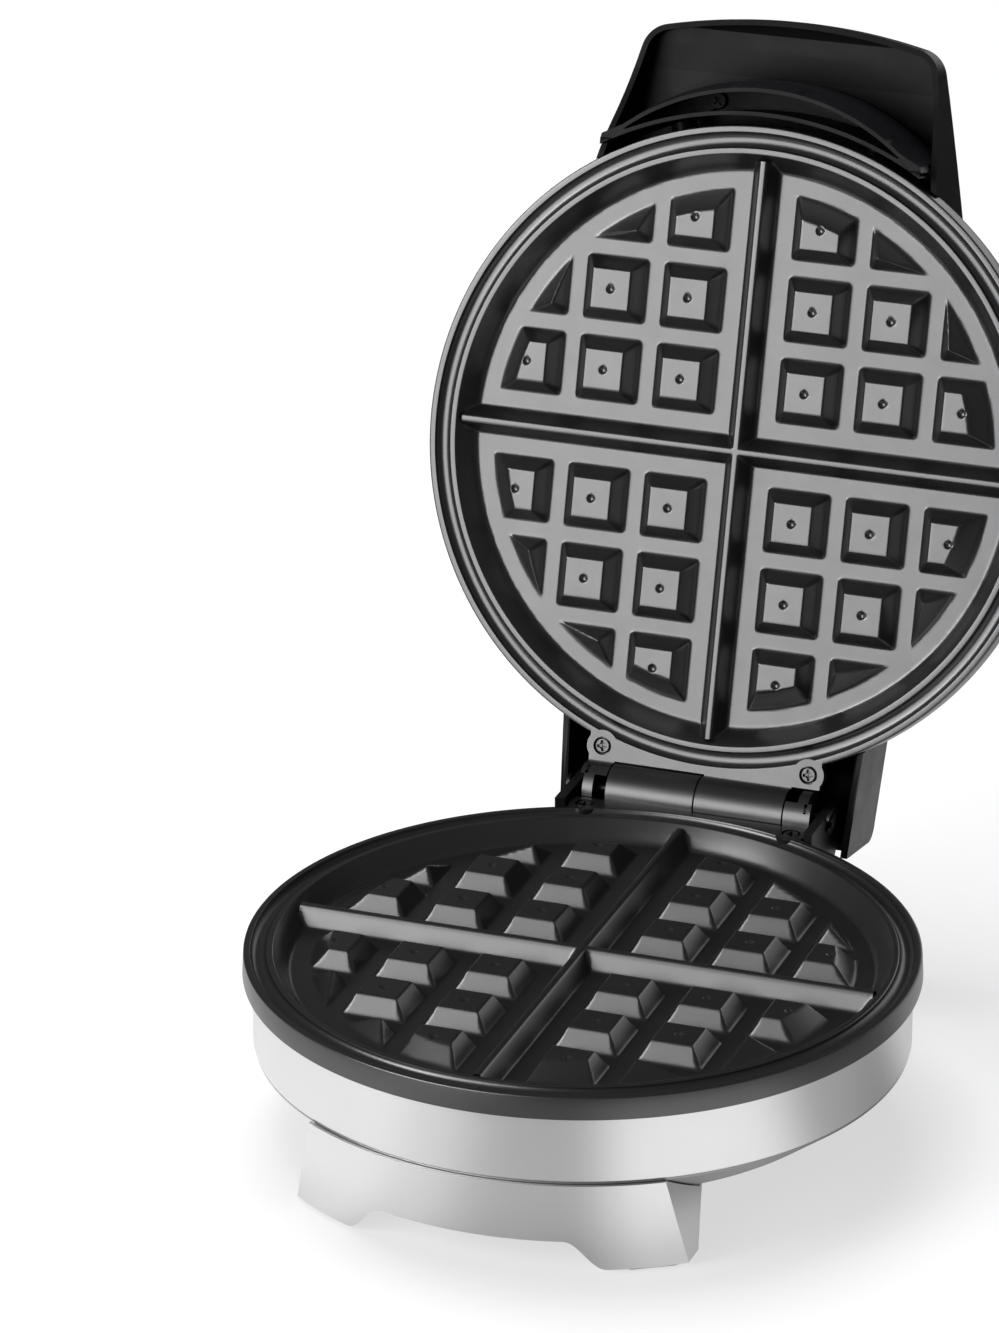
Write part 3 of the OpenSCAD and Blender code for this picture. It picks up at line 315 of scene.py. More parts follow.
# ---------------------------------------------------------------- solid helpers, in millimetres


def temp(verts, faces):
    """A solid that is still being worked on."""
    o = bpy.data.objects.new("temp", mesh_of("temp", verts, faces, 1e-5))
    bpy.context.collection.objects.link(o)
    return o


def between(low, high):
    """A solid between two closed outlines that have as many points."""
    n = len(low)
    faces = [tuple(range(n)), tuple(range(n, 2 * n))]
    faces += [(i, (i + 1) % n, n + (i + 1) % n, n + i) for i in range(n)]
    return temp(low + high, faces)


def prism(points, z0, z1):
    """A straight prism over a closed outline of (x, y)."""
    return between([(x, y, z0) for x, y in points], [(x, y, z1) for x, y in points])


def along_x(points, x0, x1):
    """A prism along X over a closed outline of (y, z)."""
    return between([(x0, y, z) for y, z in points], [(x1, y, z) for y, z in points])


def along_y(points, y0, y1):
    """A prism along Y over a closed outline of (x, z)."""
    return between([(x, y0, z) for x, z in points], [(x, y1, z) for x, z in points])


def turned(profile, segments):
    """A closed solid of revolution over a closed outline of (radius, height)."""
    verts, faces = [], []
    k = len(profile)
    for i in range(segments):
        a = 2 * math.pi * i / segments
        for r, z in profile:
            verts.append((r * math.cos(a), r * math.sin(a), z))
    for i in range(segments):
        j = (i + 1) % segments
        for q in range(k):
            p = (q + 1) % k
            if profile[q][0] < 1e-9 and profile[p][0] < 1e-9:
                continue
            faces.append((i * k + q, j * k + q, j * k + p, i * k + p))
    return temp(verts, faces)


def rod(r, length, place, segments=48, r_top=None):
    """A rod or cone along Z from the origin, placed by a matrix."""
    top = r if r_top is None else r_top
    o = turned([(0, 0), (r, 0), (top, length), (0, length)], segments)
    o.data.transform(place)
    return o


def block(x0, x1, y0, y1, z0, z1):
    return prism([(x0, y0), (x1, y0), (x1, y1), (x0, y1)], z0, z1)


def move(x=0, y=0, z=0):
    return Matrix.Translation((x, y, z))


def turn(angle, axis):
    return Matrix.Rotation(math.radians(angle), 4, axis)


def bake(o):
    """Applies an object's modifiers to its mesh."""
    deps = bpy.context.evaluated_depsgraph_get()
    me = bpy.data.meshes.new_from_object(o.evaluated_get(deps))
    o.modifiers.clear()
    o.data = me


def boolean(a, b, op):
    m = a.modifiers.new("b", "BOOLEAN")
    m.operation = op
    m.solver = "EXACT"
    m.object = b
    bake(a)
    bpy.data.objects.remove(b)


def cut(a, *bs):
    for b in bs:
        boolean(a, b, "DIFFERENCE")
    return a


def join(a, *bs):
    for b in bs:
        boolean(a, b, "UNION")
    return a


def common(a, *bs):
    for b in bs:
        boolean(a, b, "INTERSECT")
    return a


MERGE = 2e-3  # points that the booleans left closer than this become one
FLAT_TURN = 0.3  # degrees between faces that count as one flat
FLAT_AREA = 400  # from here on a face keeps its flat shading up to its border


def soften(o, width, segments=2, angle=28.0):
    """Makes a solid's flats whole again after its booleans, and rounds its edges sharper than the angle."""
    bm = bmesh.new()
    bm.from_mesh(o.data)
    bmesh.ops.remove_doubles(bm, verts=bm.verts, dist=MERGE)
    bmesh.ops.dissolve_limit(
        bm, angle_limit=math.radians(FLAT_TURN), verts=bm.verts, edges=bm.edges, delimit={"NORMAL"}
    )
    bmesh.ops.recalc_face_normals(bm, faces=bm.faces)
    bm.to_mesh(o.data)
    bm.free()
    if width > 0:
        m = o.modifiers.new("bevel", "BEVEL")
        m.width = width
        m.segments = segments
        m.limit_method = "ANGLE"
        m.angle_limit = math.radians(angle)
        m.use_clamp_overlap = True
        m.miter_outer = "MITER_ARC"
        m.harden_normals = False
        bake(o)


def settle(o, name, place, body, slot, replaces, material=None, angle=40.0):
    """Turns a finished solid into a named piece with weighted normals."""
    me = o.data
    smooth(me, angle)
    sharp = me.attributes.get("sharp_edge") or me.attributes.new("sharp_edge", "BOOLEAN", "EDGE")
    for p in me.polygons:
        if p.area > FLAT_AREA:
            for k in p.loop_indices:
                sharp.data[me.loops[k].edge_index].value = True
    m = o.modifiers.new("normals", "WEIGHTED_NORMAL")
    m.mode = "FACE_AREA"
    m.weight = 60
    m.keep_sharp = True
    bake(o)
    me = o.data
    me.name = name
    bpy.data.objects.remove(o)
    piece(name, me, place, body, slot, replaces, material)


# ---------------------------------------------------------------- cast waffle plate

CELLS = (20.0, 45.0, 70.0)  # the pyramids' middles from the plate's axes
PATTERN_R = 80.0  # the round well cuts the outer pyramids here
CELL_BASE, CELL_TOP, CELL_DROP = 19.5, 12.3, 0.8
RIDGE_BASE, RIDGE_TOP, RIDGE_DROP = 8.3, 2.0, 0.6
DIMPLE_R, DIMPLE_D = 1.3, 0.75
CHANNEL_D = 2.1
FINE, COARSE = 0.25, 0.62  # steps of the well's grid along the pattern's edges and on its flats


def smin(a, b, k):
    """The smaller of two heights, with a fillet about k wide where they cross."""
    h = np.clip(0.5 + 0.5 * (b - a) / k, 0, 1)
    return b * (1 - h) + a * h - k * h * (1 - h)


def smax(a, b, k):
    return -smin(-a, -b, k)


def well_height(x, y):
    """Height of the well's floor, pyramids, ridges and wall, with cast fillets."""
    r = np.hypot(x, y)
    cell_h = WELL - CELL_DROP
    slope = cell_h / ((CELL_BASE - CELL_TOP) / 2)
    fx = np.full(x.shape, -50.0)
    fy = np.full(x.shape, -50.0)
    for s in (-1, 1):
        for c in CELLS:
            fx = np.maximum(fx, (CELL_BASE / 2 - np.abs(x - s * c)) * slope)
            fy = np.maximum(fy, (CELL_BASE / 2 - np.abs(y - s * c)) * slope)
    cone = PATTERN_R - r
    # a corner is sharp at the top of a pyramid and rounder towards its base
    depth = 1 - np.clip(np.minimum(fx, fy) / cell_h, 0, 1)
    p = smin(smin(fx, fy, 0.3 + 2.0 * depth ** 1.5), cone, 0.5)
    p = smin(p, np.full(x.shape, cell_h), 0.35)
    ridge_h = WELL - RIDGE_DROP
    rs = ridge_h / ((RIDGE_BASE - RIDGE_TOP) / 2)
    rx = (RIDGE_BASE / 2 - np.abs(x)) * rs
    ry = (RIDGE_BASE / 2 - np.abs(y)) * rs
    ridge = smin(smax(rx, ry, 0.9), np.full(x.shape, ridge_h), 0.7)
    wall = (r - FLOOR_R) * WELL / (WELL_R - FLOOR_R)
    h = smax(np.zeros(x.shape), p, 0.8)
    h = smax(h, ridge, 0.9)
    h = smax(h, wall, 1.0)
    for s in (-1, 1):
        for t in (-1, 1):
            for i in range(3):
                for j in range(3 - i):
                    d = np.hypot(x - s * CELLS[i], y - t * CELLS[j])
                    h = h - DIMPLE_D * np.clip(1 - (d / DIMPLE_R) ** 2, 0, 1) ** 0.8
    return h - WELL


def feature_lines(limit):
    """Grid lines that are close together along the edges of the pattern and wider on the flats."""
    marks = set()
    for s in (-1, 1):
        for c in CELLS:
            for e in (-CELL_BASE / 2, -CELL_TOP / 2, CELL_TOP / 2, CELL_BASE / 2):
                marks.add(s * c + e)
        for e in (RIDGE_BASE / 2, RIDGE_TOP / 2):
            marks.add(s * e)
    lines = [-limit]
    while lines[-1] < limit:
        q = lines[-1]
        near = min(abs(q - m) for m in marks)
        dimple = min(abs(abs(q) - c) for c in CELLS)
        lines.append(q + (FINE if near < 0.8 or dimple < 1.5 else COARSE))
    return np.array(lines)


def skin(name, me, place, body, subpart, angle=None):
    """Makes an open surface of the plate a piece."""
    piece(name, me, place, body, "plate_coating", (subpart,))
    me.update()
    smooth(me, angle)


def plate_well(name, place, body, subpart):
    """The well's floor, pyramids and ridges, up to where the turned wall takes over."""
    lines = feature_lines(89.0)
    gx, gy = np.meshgrid(lines, lines, indexing="ij")
    r = np.hypot(gx, gy)
    # the turned wall lies over this surface beyond the wall's middle, and under it before
    h = well_height(gx, gy) + np.clip((88.0 - r) * 0.03, -0.03, 0.0)
    # the ridges' ends go on further out, into that wall
    strip = (np.abs(gx) < 4.6) | (np.abs(gy) < 4.6)
    keep = (r < 88.9) | (strip & (r < 90.9))
    index = -np.ones(r.shape, int)
    index[keep] = np.arange(keep.sum())
    verts = np.stack([gx[keep], gy[keep], h[keep]], axis=1)
    a, b, c, d = index[:-1, :-1], index[1:, :-1], index[1:, 1:], index[:-1, 1:]
    ok = (a >= 0) & (b >= 0) & (c >= 0) & (d >= 0)
    quads = np.stack([a[ok], b[ok], c[ok], d[ok]], axis=1)
    me = bpy.data.meshes.new(name)
    me.from_pydata(verts.tolist(), [], quads.tolist())
    skin(name, me, place, body, subpart)


def plate_rim(name, place, body, subpart):
    """The well's wall and the lands; between the lands runs a channel with rounded corners."""
    low = 87.4
    arc = np.linspace(0, 1.57, 9)
    wall = [(low, -(WELL_R - low) * WELL / (WELL_R - FLOOR_R) - 0.05, 0), (WELL_R, 0, 0.5), (92.65, 0, 0.22)]
    wall += [(94.9 - 2.05 * math.cos(t), -0.2 - (CHANNEL_D - 0.2) * math.sin(t), 0) for t in arc]
    wall += [(95.4 + 2.15 * math.sin(t), -0.2 - (CHANNEL_D - 0.2) * math.cos(t), 0) for t in arc]
    wall += [(97.7, 0, 0.22), (99.6, 0, 0.5), (100, -7, 0.3), (97.5, -7, 0), (97.5, -5.2, 0), (91.8, -5.2, 0)]
    skin(name, mesh_of(name, *lathe(rounded(wall), 360), 1e-4), place, body, subpart, 35.0)


def plate_hinge(name, place, body, subpart):
    """The flange with counterbores for its screws, and the knuckles round the pin."""
    outer = 98.12
    end = math.degrees(math.acos(FLANGE_X / outer))
    outline = [(outer * math.cos(math.radians(a)), outer * math.sin(math.radians(a)))
               for a in np.linspace(end, 180 - end, 49)]
    outline += [(-FLANGE_X, RIM_CLEAR), (FLANGE_X, RIM_CLEAR)]
    hinge = prism(outline, FLANGE_LOW, FLANGE_TOP)
    for side in (-1, 1):
        spot = move(FLANGE_SCREW_X * side, FLANGE_SCREW_Y, FLANGE_LOW)
        join(hinge, rod(5, FLANGE_TOP - FLANGE_LOW, spot, 64))
    cut(hinge, block(-60, 60, RIM_CLEAR, 120, -20, 20))

    def knuckle(x0, length):
        """A barrel round the pin on a web that reaches a little into the flange."""
        return (rod(KNUCKLE_R, length, move(x0, HINGE_Y, GAP / 2) @ turn(90, "Y"), 96),
                block(x0, x0 + length, 100.25, HINGE_Y, FLANGE_LOW, FLANGE_TOP))

    for x0, x1 in ((-28.55, -0.25), (32.85, 36.15)):
        join(hinge, *knuckle(x0, x1 - x0))
    cheek = join(*knuckle(29.05, FLANGE_X - 29.05))
    cut(cheek, block(28, 39, 104.1, 120, -20, 20))
    join(hinge, cheek)
    cut(hinge, rod(PIN_BORE, 100, move(-50, HINGE_Y, GAP / 2) @ turn(90, "Y")))
    for side in (-1, 1):
        cut(hinge, rod(HEAD_BORE, 6, move(FLANGE_SCREW_X * side, FLANGE_SCREW_Y, -2)))
        cut(hinge, rod(SCREW_BORE, 20, move(FLANGE_SCREW_X * side, FLANGE_SCREW_Y, -12)))
    soften(hinge, 0.45, 3)
    settle(hinge, name, place, body, "plate_coating", (subpart,))


def plate_meshes(name, place, body, subpart):
    plate_well(name + "_well", place, body, subpart)
    plate_rim(name + "_rim", place, body, subpart)
    plate_hinge(name + "_hinge", place, body, subpart)
    for i in range(3):
        a = math.radians(30 + 120 * i)
        for ring, radius, top, low in ((STUD_RING, 4.6, -9.4, -13.8), (40.0, 4.0, -9.4, -16.7)):
            stud = rod(radius, top - low, move(ring * math.cos(a), ring * math.sin(a), low))
            cut(stud, rod(1.5, top - low, move(ring * math.cos(a), ring * math.sin(a), low - 1)))
            settle(stud, f"{name}_stud_{i}_{int(ring)}", place, body, "plate_coating", (subpart,))
    under = mesh_of(name + "_under", *lathe([(0.01, -9.5), (87.2, -9.5), (92.0, -5.2)], 180), 1e-4)
    skin(name + "_under", under, place, body, subpart, 35.0)


plate_meshes("lower_plate_cast", TO_BASE, "base", "lower_plate")
plate_meshes("upper_plate_cast", TO_LID @ flip_y(), "lid", "upper_plate")

# ---------------------------------------------------------------- base

WORLD = Matrix()


def ring_piece(profile):
    """A turned solid over an outline of (radius, height, rounding)."""
    return turned(rounded(profile, closed=True), 256)


shell = ring_piece([(95.2, 28, 0), (DRUM_R, 28, 0.55), (DRUM_R, 50.8, 0), (95.2, 50.8, 0)])
cut(shell, rod(5.05, 12, turn(36, "Z") @ move(0, 91, 39) @ turn(-90, "X")))
settle(shell, "drum", WORLD, "base", "drum_silver", ("base_shell",))

pan = ring_piece([
    (0, 16, 0), (82, 16, 4.5), (96.9, 27.4, 0.35), (96.9, 28, 0), (94.9, 28, 0), (94.9, 31, 0),
    (93.1, 31, 0), (93.1, 27.2, 0), (81, 18.2, 0), (0, 18.2, 0),
])
for i in range(3):
    spot = turn(30 + 120 * i, "Z") @ move(STUD_RING, 0, 0)
    join(pan, rod(4.6, 24, spot @ move(0, 0, 18)))
    cut(pan, rod(HEAD_BORE, 10, spot @ move(0, 0, 14)))
    cut(pan, rod(SCREW_BORE, 40, spot @ move(0, 0, 16)))
soften(pan, 0)
settle(pan, "pan", WORLD, "base", "pan_silver", ("base_pan",), angle=32.0)


def foot_mesh(name, subpart, place):
    """A piece of a ring with slanting ends, and an arch below whose flanks swing up like an S."""
    low, high, arch_x, steps = 0.8, 27.4, 39.5, 16
    foot = turned([
        (91.7, low), (98.3, low), (98.3, high), (DRUM_R, high), (DRUM_R, 27.05),
        (82.35, 15.65), (80.5, 15.65),
    ], 360)
    common(foot, along_y([(-59.7, low), (59.7, low), (54, high), (-54, high)], -104, -27))
    side = [(arch_x - 12 * i / steps, low + 9 * (1 - math.cos(math.pi * i / steps)) / 2)
            for i in range(steps + 1)]
    arch = [(-arch_x, -1)] + [(-x, z) for x, z in side] + [(x, z) for x, z in reversed(side)] + [(arch_x, -1)]
    cut(foot, along_y(arch, -105, -20))
    soften(foot, 0.55, 3)
    settle(foot, name, place, "base", "foot_silver", (subpart,))


foot_mesh("foot_front", "front_foot", WORLD)
foot_mesh("foot_rear", "rear_foot", turn(180, "Z"))

HOUSING_X, HOUSING_IN_X, HOUSING_Y = 41.6, 38.6, 48.6
housing = along_x(rounded([
    (HOUSING_Y, 30, 0), (104.0, 30, 1.2), (BACK_Y, 46.5, 0.8), (BACK_Y, 58.6, 2.0), (HOUSING_Y, 58.6, 0),
], closed=True), -HOUSING_X, HOUSING_X)
for room in ([(HOUSING_Y, 47.1), (118.0, 47.1), (118.0, 60), (HOUSING_Y, 60)],
             [(HOUSING_Y, 33), (102.7, 33), (115.0, 44.1), (HOUSING_Y, 44.1)]):
    cut(housing, along_x(room, -HOUSING_IN_X, HOUSING_IN_X))
for side in (-1, 1):
    join(housing, rod(4, 20.5, move(FLANGE_SCREW_X * side, FLANGE_SCREW_Y, 30.5)))
cut(housing, rod(RIM_CLEAR, 60, move(0, 0, 48.7), 256), rod(97.5, 100, WORLD, 256))
cut(housing, rod(PIN_BORE, 120, move(-60, HINGE_Y, HINGE_Z) @ turn(90, "Y")))
soften(housing, 0.45, 3)
settle(housing, "housing", WORLD, "base", "housing_black", ("hinge_housing",))

# ---------------------------------------------------------------- lid

LID_TOP, LID_WALL = 32, 2.2
ARMS_Y = 60  # the arms begin inside the dome
SHOULDER_Y = BACK_Y - 6.7  # middle of the arms' rounded upper edge


def dome_profile(off, z0):
    """Outline of the lid's round dome down to z0, with its skin moved outwards by off."""
    start = math.degrees(math.atan2(2.7, 12))
    return [(0, z0), (DRUM_R + off, z0), (DRUM_R + off, 8),
            *arc_points(82.2, 20, 12 + off, start, 90, 16), (0, LID_TOP + off)]


def arm_half(y):
    """Half the width over both arms, which get narrower towards the back."""
    return 49 - 2 * (y - 85) / (BACK_Y - 85)


def arm_plan(inset, z0, z1):
    y0, y1 = ARMS_Y, 122
    return prism([(-arm_half(y0) + inset, y0), (arm_half(y0) - inset, y0),
                  (arm_half(y1) - inset, y1), (-arm_half(y1) + inset, y1)], z0, z1)


def rim_room():
    """The room that the upper plate's rim takes."""
    return rod(RIM_CLEAR, 27.3, move(0, 0, -20), 256)


arms = common(arm_plan(0, 0, LID_TOP), along_x(
    [(ARMS_Y, 5.2), (BACK_Y, 5.2)] + arc_points(SHOULDER_Y, 27.4, 4.6, 6, 90, 10) + [(ARMS_Y, LID_TOP)],
    -54, 54))
hollow = common(arm_plan(LID_WALL, -1, 40), along_x(
    [(ARMS_Y, -2), (BACK_Y + 2, -2), (BACK_Y + 2, 14), (BACK_Y - 3.1, 14)]
    + arc_points(SHOULDER_Y, 26.6, 2.4, 6, 90, 6) + [(ARMS_Y, 29)], -54, 54))
cut(arms, hollow, rim_room(), turned(dome_profile(-LID_WALL, -1), 256))
lid = cut(turned(dome_profile(0, 5.2), 256), turned(dome_profile(-LID_WALL, 4), 256))
join(lid, arms)
for side in (-1, 1):
    x = FLANGE_SCREW_X * side
    boss = rod(4.4, 10, move(x, FLANGE_SCREW_Y, 5))
    join(boss, block(x - 1.2, x + 1.2, 86, FLANGE_SCREW_Y, 7.3, 15))
    cut(boss, rim_room(), block(-60, 60, RIM_CLEAR, 120, -20, 40))
    join(lid, boss)
cut(lid, rod(76.15, 5, move(0, 0, 31.5), 256))
for x in (-9, 9):
    cut(lid, rod(2.4, 40, move(x, -79, 10)))
soften(lid, 0.35, 2)
settle(lid, "lid", TO_LID, "lid", "lid_black", ("lid_housing",))

disc = ring_piece([(0, 31.5, 0), (76, 31.5, 0), (76, LID_TOP, 0.3), (0, LID_TOP, 0)])
settle(disc, "disc", TO_LID, "lid", "disc_steel", ("lid_disc",))

# ---------------------------------------------------------------- handle

TO_HANDLE = TO_LID @ turn(180, "Z")
HANDLE_Y = 60  # the hood begins inside the dome
TIP, TIP_R, HALF, HALF_AT, FLARE, CORNER, WALL = 131.3, 186.0, 50.0, 107.0, 0.2, 9.0, 1.8
tip_y = TIP - TIP_R
slope = math.atan(FLARE)
# middle of the rounded corner: beside the flared side, and inside the arc of the front
c_a = HALF + FLARE * HALF_AT - CORNER / math.cos(slope)
c_b = c_a * FLARE + tip_y
c_c = 1 + FLARE ** 2
c_d = c_a ** 2 + tip_y ** 2 - (TIP_R - CORNER) ** 2
corner_y = (c_b + math.sqrt(c_b ** 2 - c_c * c_d)) / c_c
corner_x = c_a - FLARE * corner_y
corner_end = math.degrees(math.atan2(corner_y - tip_y, corner_x))


def handle_side(inset):
    """Half the handle's outline, from its root to the middle of its front."""
    root = HALF - FLARE * (HANDLE_Y - HALF_AT) - inset / math.cos(slope)
    return ([(root, HANDLE_Y)]
            + arc_points(corner_x, corner_y, CORNER - inset, math.degrees(slope), corner_end, 14)
            + arc_points(0, tip_y, TIP_R - inset, corner_end, 90, 16)[1:])


def handle_prism(inset, z0, z1):
    side = handle_side(inset)
    return prism(side + [(-x, y) for x, y in reversed(side[:-1])], z0, z1)


# along the hood: the share of its lower edge's rise, and how far its top has dropped
EDGE = [(60, 0), (80, 0), (84, .02), (87, .06), (90, .12), (93, .2), (96, .295), (99, .395), (102, .485),
        (105, .565), (108, .635), (111, .69), (114, .74), (118, .79), (122, .84), (127, .91), (134, 1.01)]
TOP = [(60, 0), (80, .3), (92, .9), (104, 1.9), (113, 2.9), (121, 4.1)]
profile = [(y, 3.5 + 17 * t) for y, t in EDGE] + [(TIP + 3, 20.5)] + arc_points(TIP - 3, 24, 3, 0, 60, 6)
profile += [(y, 31.4 - d) for y, d in reversed(TOP)]
inner = [(HANDLE_Y, -20), (TIP - WALL, -20), (TIP - WALL, 22.6), (TIP - 5, 24.8)]
inner += [(y, 29.6 - d) for y, d in reversed(TOP)]
handle = common(handle_prism(0, -20, LID_TOP), along_x(profile, -80, 80))
soften(handle, 2.2, 5, 24.0)
core = common(handle_prism(WALL, -20, LID_TOP), along_x(inner, -80, 80))
cut(core, turned(dome_profile(2.1, -30), 256))
cut(handle, core)
for side in (-1, 1):
    join(handle, rod(3.4, 5.4, move(HANDLE_SCREW_X * side, HANDLE_SCREW_Y, 23)))
    boss = rod(4, 7.4, turn(18 * side, "Z") @ move(0, 95.175, 17) @ turn(-90, "X"))
    join(handle, common(boss, handle_prism(WALL, 0, LID_TOP)))
cut(handle, turned(dome_profile(0.3, -30), 256), rod(RIM_CLEAR, 57.3, move(0, 0, -50), 256))
soften(handle, 0.3, 2)
settle(handle, "hood", TO_HANDLE, "lid", "handle_black", ("handle",))

# the liner is a crescent tray whose mouth leans towards the plate; its tips are closed
LIP_Y, LEAN, SLOT_TIP = 41.4, 2.0, 44.0
BEND_Z = (6, 5.9)  # the lean ends here; the upper part begins a little lower, so that the two meet
TRAY, SLOT = (71.8, 102.8), (70.6, 104.0)  # outer and inner radius


def inner_round(r):
    """What the liner leaves free round the plate."""
    return rod(r, 60, move(0, 0, -20), 360)


def liner_room():
    """The room inside the hood's walls."""
    return handle_prism(2.1, -20, LID_TOP)


def crescent(radii, ends, z0, z1, y0, y1):
    """Solid between two heights; the outer arc's middle goes from y0 to y1, the inner arc stays."""
    outer_r, inner_r = radii
    half = math.degrees(math.acos(SLOT_TIP / outer_r))

    def outline(cy, z):
        out = arc_points(0, cy, outer_r, half, 180 - half, 90)
        return [(x, y, z) for x, y in ends + out + [(-x, y) for x, y in ends]]

    return cut(between(outline(y0, z0), outline(y1, z1)), inner_round(inner_r))


tips = [(54, 91.0)]
lips = crescent(TRAY, tips, -4.5, BEND_Z[0], LIP_Y - LEAN, LIP_Y)
join(lips, crescent(TRAY, tips, BEND_Z[1], 23, LIP_Y, LIP_Y))
cut(lips, crescent(SLOT, [], -4.6, BEND_Z[0], LIP_Y - LEAN, LIP_Y),
    crescent(SLOT, [], BEND_Z[1], 21.4, LIP_Y, LIP_Y))
common(lips, liner_room())
for side in (-1, 1):
    tab = block(*sorted((46.6 * side, 50.9 * side)), 88.6, 91.4, -5.0, 4)
    join(lips, common(cut(tab, inner_round(TRAY[1])), liner_room()))
    cut(lips, rod(SCREW_BORE, 8, move(HANDLE_SCREW_X * side, HANDLE_SCREW_Y, 19)))
soften(lips, 0.3, 2)
settle(lips, "lips", TO_HANDLE, "lid", "liner_black", ("handle_liner",))

# ---------------------------------------------------------------- screw heads in the hinge flanges


def screw_mesh(name, place, body, subpart):
    """A pan head with a cross recess on a plain shank; its top is at height 0."""
    head = turned(rounded([(0, -1.9, 0), (2.45, -1.9, 0), (2.5, -0.45, 0), (2.1, 0, 0.3), (0, 0, 0)]), 64)
    for angle in (8, 98):
        bar = [(-1.75, -0.5, 0.2), (1.75, -0.5, 0.2), (1.75, 0.5, 0.2), (-1.75, 0.5, 0.2)]
        arm = prism(rounded(bar, closed=True), -1.25, 1)
        arm.data.transform(turn(angle, "Z"))
        cut(head, arm)
    cut(head, rod(0.45, 1.7, move(0, 0, -1.6), 32, 1.15))
    join(head, rod(1.4, 9.0, move(0, 0, -10.8), 32))
    soften(head, 0.12, 2)
    settle(head, name, place, body, "screw_steel", (subpart,), MAT["flange_screw"])


for side in (-1, 1):
    spot = move(FLANGE_SCREW_X * side, FLANGE_SCREW_Y, -0.1)
    screw_mesh(f"lower_flange_screw_{side + 1}", TO_BASE @ spot, "base", "lower_plate_screws")
    screw_mesh(f"upper_flange_screw_{side + 1}", TO_LID @ flip_y() @ spot, "lid", "upper_plate_screws")

# ---------------------------------------------------------------- camera, light, floor

# camera fitted to the plates' circles, the pyramids' grid and the hinge
CAM_AZIMUTH, CAM_HEIGHT = 19.85, 23.78  # degrees
CAM_TARGET, CAM_DISTANCE = (-23.58, 32.76, 93.62), 1.78177  # millimetres, metres
CAM_LENS, CAM_SHIFT = 162.06, (-0.0342, 0.0804)

FLOOR_DROP = 0.0002  # below the feet
FLOOR_GLOW, FLOOR_LIT = 0.62, 0.33  # as the camera sees the floor
SEEN_GLOW, SEEN_LIT = 0.46, 0.62  # as the pieces see it
FADE_FROM, FADE_TO, FADE_LEFT = 0.26, 0.50, 0.05  # metres, metres, and the share of light left beyond
WORLD_SEEN, WORLD_LIT = 0.99, 0.1  # as the camera and as the pieces see it
# share of light that the pieces see on the floor, by direction from the object:
# 0 is -X, 0.25 is -Y, 0.5 is +X and 0.75 is +Y
FLOOR_BANDS = [(0.0, 0.75), (0.16, 0.8), (0.2, 0.62), (0.25, 0.37), (0.295, 0.38), (0.345, 0.9), (0.42, 0.92),
               (0.485, 0.37), (0.545, 0.3), (0.61, 0.8), (0.72, 0.7), (0.86, 0.35), (0.92, 0.4), (0.97, 0.72)]
LIGHTS = [
    # name, place, aim, width, height, radiance, seen in reflections
    ("key", (-0.8, -1.78, 0.6), (0, 0.13, 0.16), 1.25, 1.2, 4.4, True),
    ("accent", (-1.28, -1.2, 1.1), (0, 0.13, 0.2), 0.75, 0.75, 9.0, True),
    ("top", (-0.5, 0.6, 1.9), (0, 0, 0), 1.2, 1.2, 9.5, False),
    ("rear", (0.9, 2.4, 0.75), (0, 0.1, 0.15), 2.8, 1.2, 1.1, True),
]

scene = bpy.context.scene
cam = bpy.data.objects.new("camera", bpy.data.cameras.new("camera"))
bpy.context.collection.objects.link(cam)
scene.camera = cam
az, el = math.radians(CAM_AZIMUTH), math.radians(CAM_HEIGHT)
back = Vector((math.sin(az) * math.cos(el), -math.cos(az) * math.cos(el), math.sin(el)))
cam.location = Vector(CAM_TARGET) * MM + back * CAM_DISTANCE
cam.rotation_mode = "QUATERNION"
cam.rotation_quaternion = (-back).to_track_quat("-Z", "Y")
cam.data.lens = CAM_LENS
cam.data.sensor_width = 36
cam.data.shift_x, cam.data.shift_y = CAM_SHIFT
cam.data.clip_start, cam.data.clip_end = 0.05, 50

scene.view_settings.view_transform = "Standard"


def camera_ray(tree):
    return node(tree, "ShaderNodeLightPath").outputs["Is Camera Ray"]


def maths(tree, op, a, b):
    n = node(tree, "ShaderNodeMath", operation=op)
    for i, v in enumerate((a, b)):
        if isinstance(v, (int, float)):
            n.inputs[i].default_value = v
        else:
            tree.links.new(v, n.inputs[i])
    return n.outputs[0]


# a pale floor: the camera sees it lifted towards white, and the pieces see bands of light near them
verts, faces = lathe([(0.0001, 0), (0.25, 0), (0.6, 0), (1.5, 0), (6, 0), (30, 0)], 96)
floor_mesh = bpy.data.meshes.new("floor")
floor_mesh.from_pydata([(x, y, z - FLOOR_DROP) for x, y, z in verts], [], faces)
floor = bpy.data.objects.new("floor", floor_mesh)
bpy.context.collection.objects.link(floor)
fm = bpy.data.materials.new("floor")
fm.use_nodes = True
ft = fm.node_tree
ft.nodes.clear()
fo = node(ft, "ShaderNodeOutputMaterial")
fco = node(ft, "ShaderNodeTexCoord")
far = node(ft, "ShaderNodeVectorMath", operation="LENGTH")
ft.links.new(fco.outputs["Object"], far.inputs[0])
fade = node(ft, "ShaderNodeMapRange", interpolation_type="SMOOTHSTEP")
fade.inputs["From Min"].default_value = FADE_FROM
fade.inputs["From Max"].default_value = FADE_TO
fade.inputs["To Min"].default_value = 1.0
fade.inputs["To Max"].default_value = FADE_LEFT
ft.links.new(far.outputs["Value"], fade.inputs["Value"])
around = node(ft, "ShaderNodeTexGradient", gradient_type="RADIAL")
ft.links.new(fco.outputs["Object"], around.inputs[0])
bands = node(ft, "ShaderNodeValToRGB")
bands.color_ramp.interpolation = "EASE"
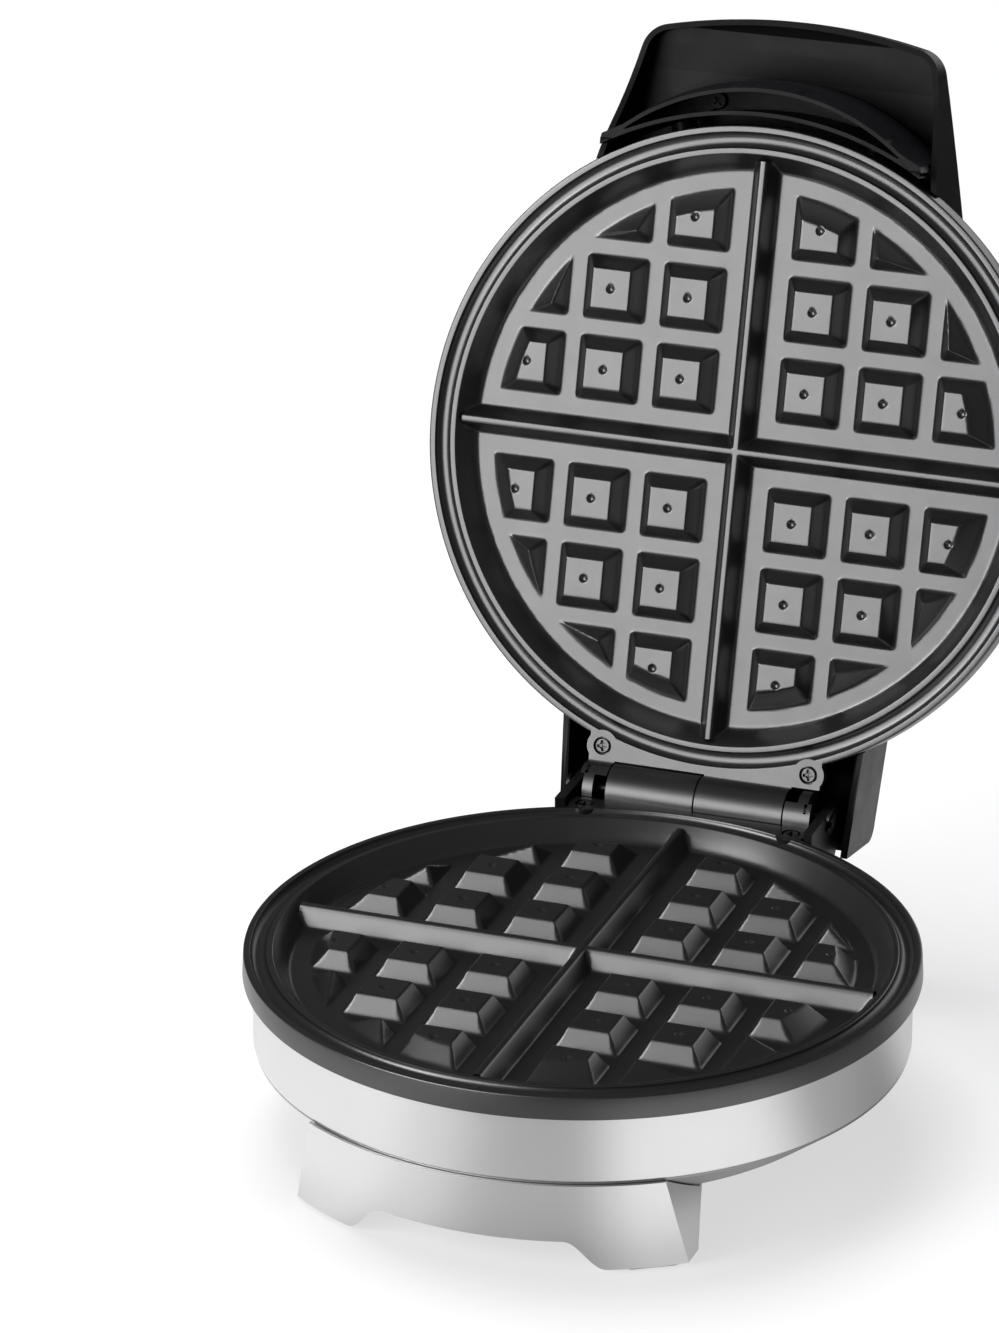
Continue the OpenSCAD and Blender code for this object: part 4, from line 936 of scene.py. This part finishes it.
while len(bands.color_ramp.elements) < len(FLOOR_BANDS):
    bands.color_ramp.elements.new(0.5)
for element, (place, level) in zip(bands.color_ramp.elements, FLOOR_BANDS):
    element.position = place
    element.color = (level, level, level, 1)
ft.links.new(around.outputs["Fac"], bands.inputs[0])
share = maths(ft, "MULTIPLY", bands.outputs[0], fade.outputs[0])
seen_lit = node(ft, "ShaderNodeBsdfDiffuse")
ft.links.new(maths(ft, "MULTIPLY", share, SEEN_LIT), seen_lit.inputs["Color"])
seen_glow = node(ft, "ShaderNodeEmission")
ft.links.new(maths(ft, "MULTIPLY", share, SEEN_GLOW), seen_glow.inputs["Strength"])
seen = node(ft, "ShaderNodeAddShader")
ft.links.new(seen_lit.outputs[0], seen.inputs[0])
ft.links.new(seen_glow.outputs[0], seen.inputs[1])
glow = node(ft, "ShaderNodeEmission")
glow.inputs["Strength"].default_value = FLOOR_GLOW
white = node(ft, "ShaderNodeAddShader")
for_camera = node(ft, "ShaderNodeBsdfDiffuse")
for_camera.inputs["Color"].default_value = (FLOOR_LIT, FLOOR_LIT, FLOOR_LIT, 1)
ft.links.new(for_camera.outputs[0], white.inputs[0])
ft.links.new(glow.outputs[0], white.inputs[1])
by_ray = node(ft, "ShaderNodeMixShader")
ft.links.new(camera_ray(ft), by_ray.inputs[0])
ft.links.new(seen.outputs[0], by_ray.inputs[1])
ft.links.new(white.outputs[0], by_ray.inputs[2])
ft.links.new(by_ray.outputs[0], fo.inputs[0])
floor_mesh.materials.append(fm)

world = bpy.data.worlds.new("studio")
scene.world = world
world.use_nodes = True
wt = world.node_tree
wt.nodes.clear()
wo = node(wt, "ShaderNodeOutputWorld")
bg = node(wt, "ShaderNodeBackground")
bg.inputs["Color"].default_value = (1, 1, 1, 1)
strength = maths(wt, "MULTIPLY", camera_ray(wt), WORLD_SEEN - WORLD_LIT)
strength = maths(wt, "ADD", strength, WORLD_LIT)
wt.links.new(strength, bg.inputs["Strength"])
wt.links.new(bg.outputs[0], wo.inputs[0])


def area(name, place, aim, size, size_y, radiance, glossy):
    """An area light of a given radiance, aimed at a point."""
    light = bpy.data.lights.new(name, "AREA")
    light.shape = "RECTANGLE"
    light.size, light.size_y = size, size_y
    light.energy = radiance * math.pi * size * size_y
    light.spread = math.pi
    o = bpy.data.objects.new(name, light)
    bpy.context.collection.objects.link(o)
    o.location = place
    o.rotation_mode = "QUATERNION"
    o.rotation_quaternion = (Vector(aim) - Vector(place)).to_track_quat("-Z", "Y")
    o.visible_glossy = glossy
    o.visible_camera = False


for row in LIGHTS:
    area(*row)
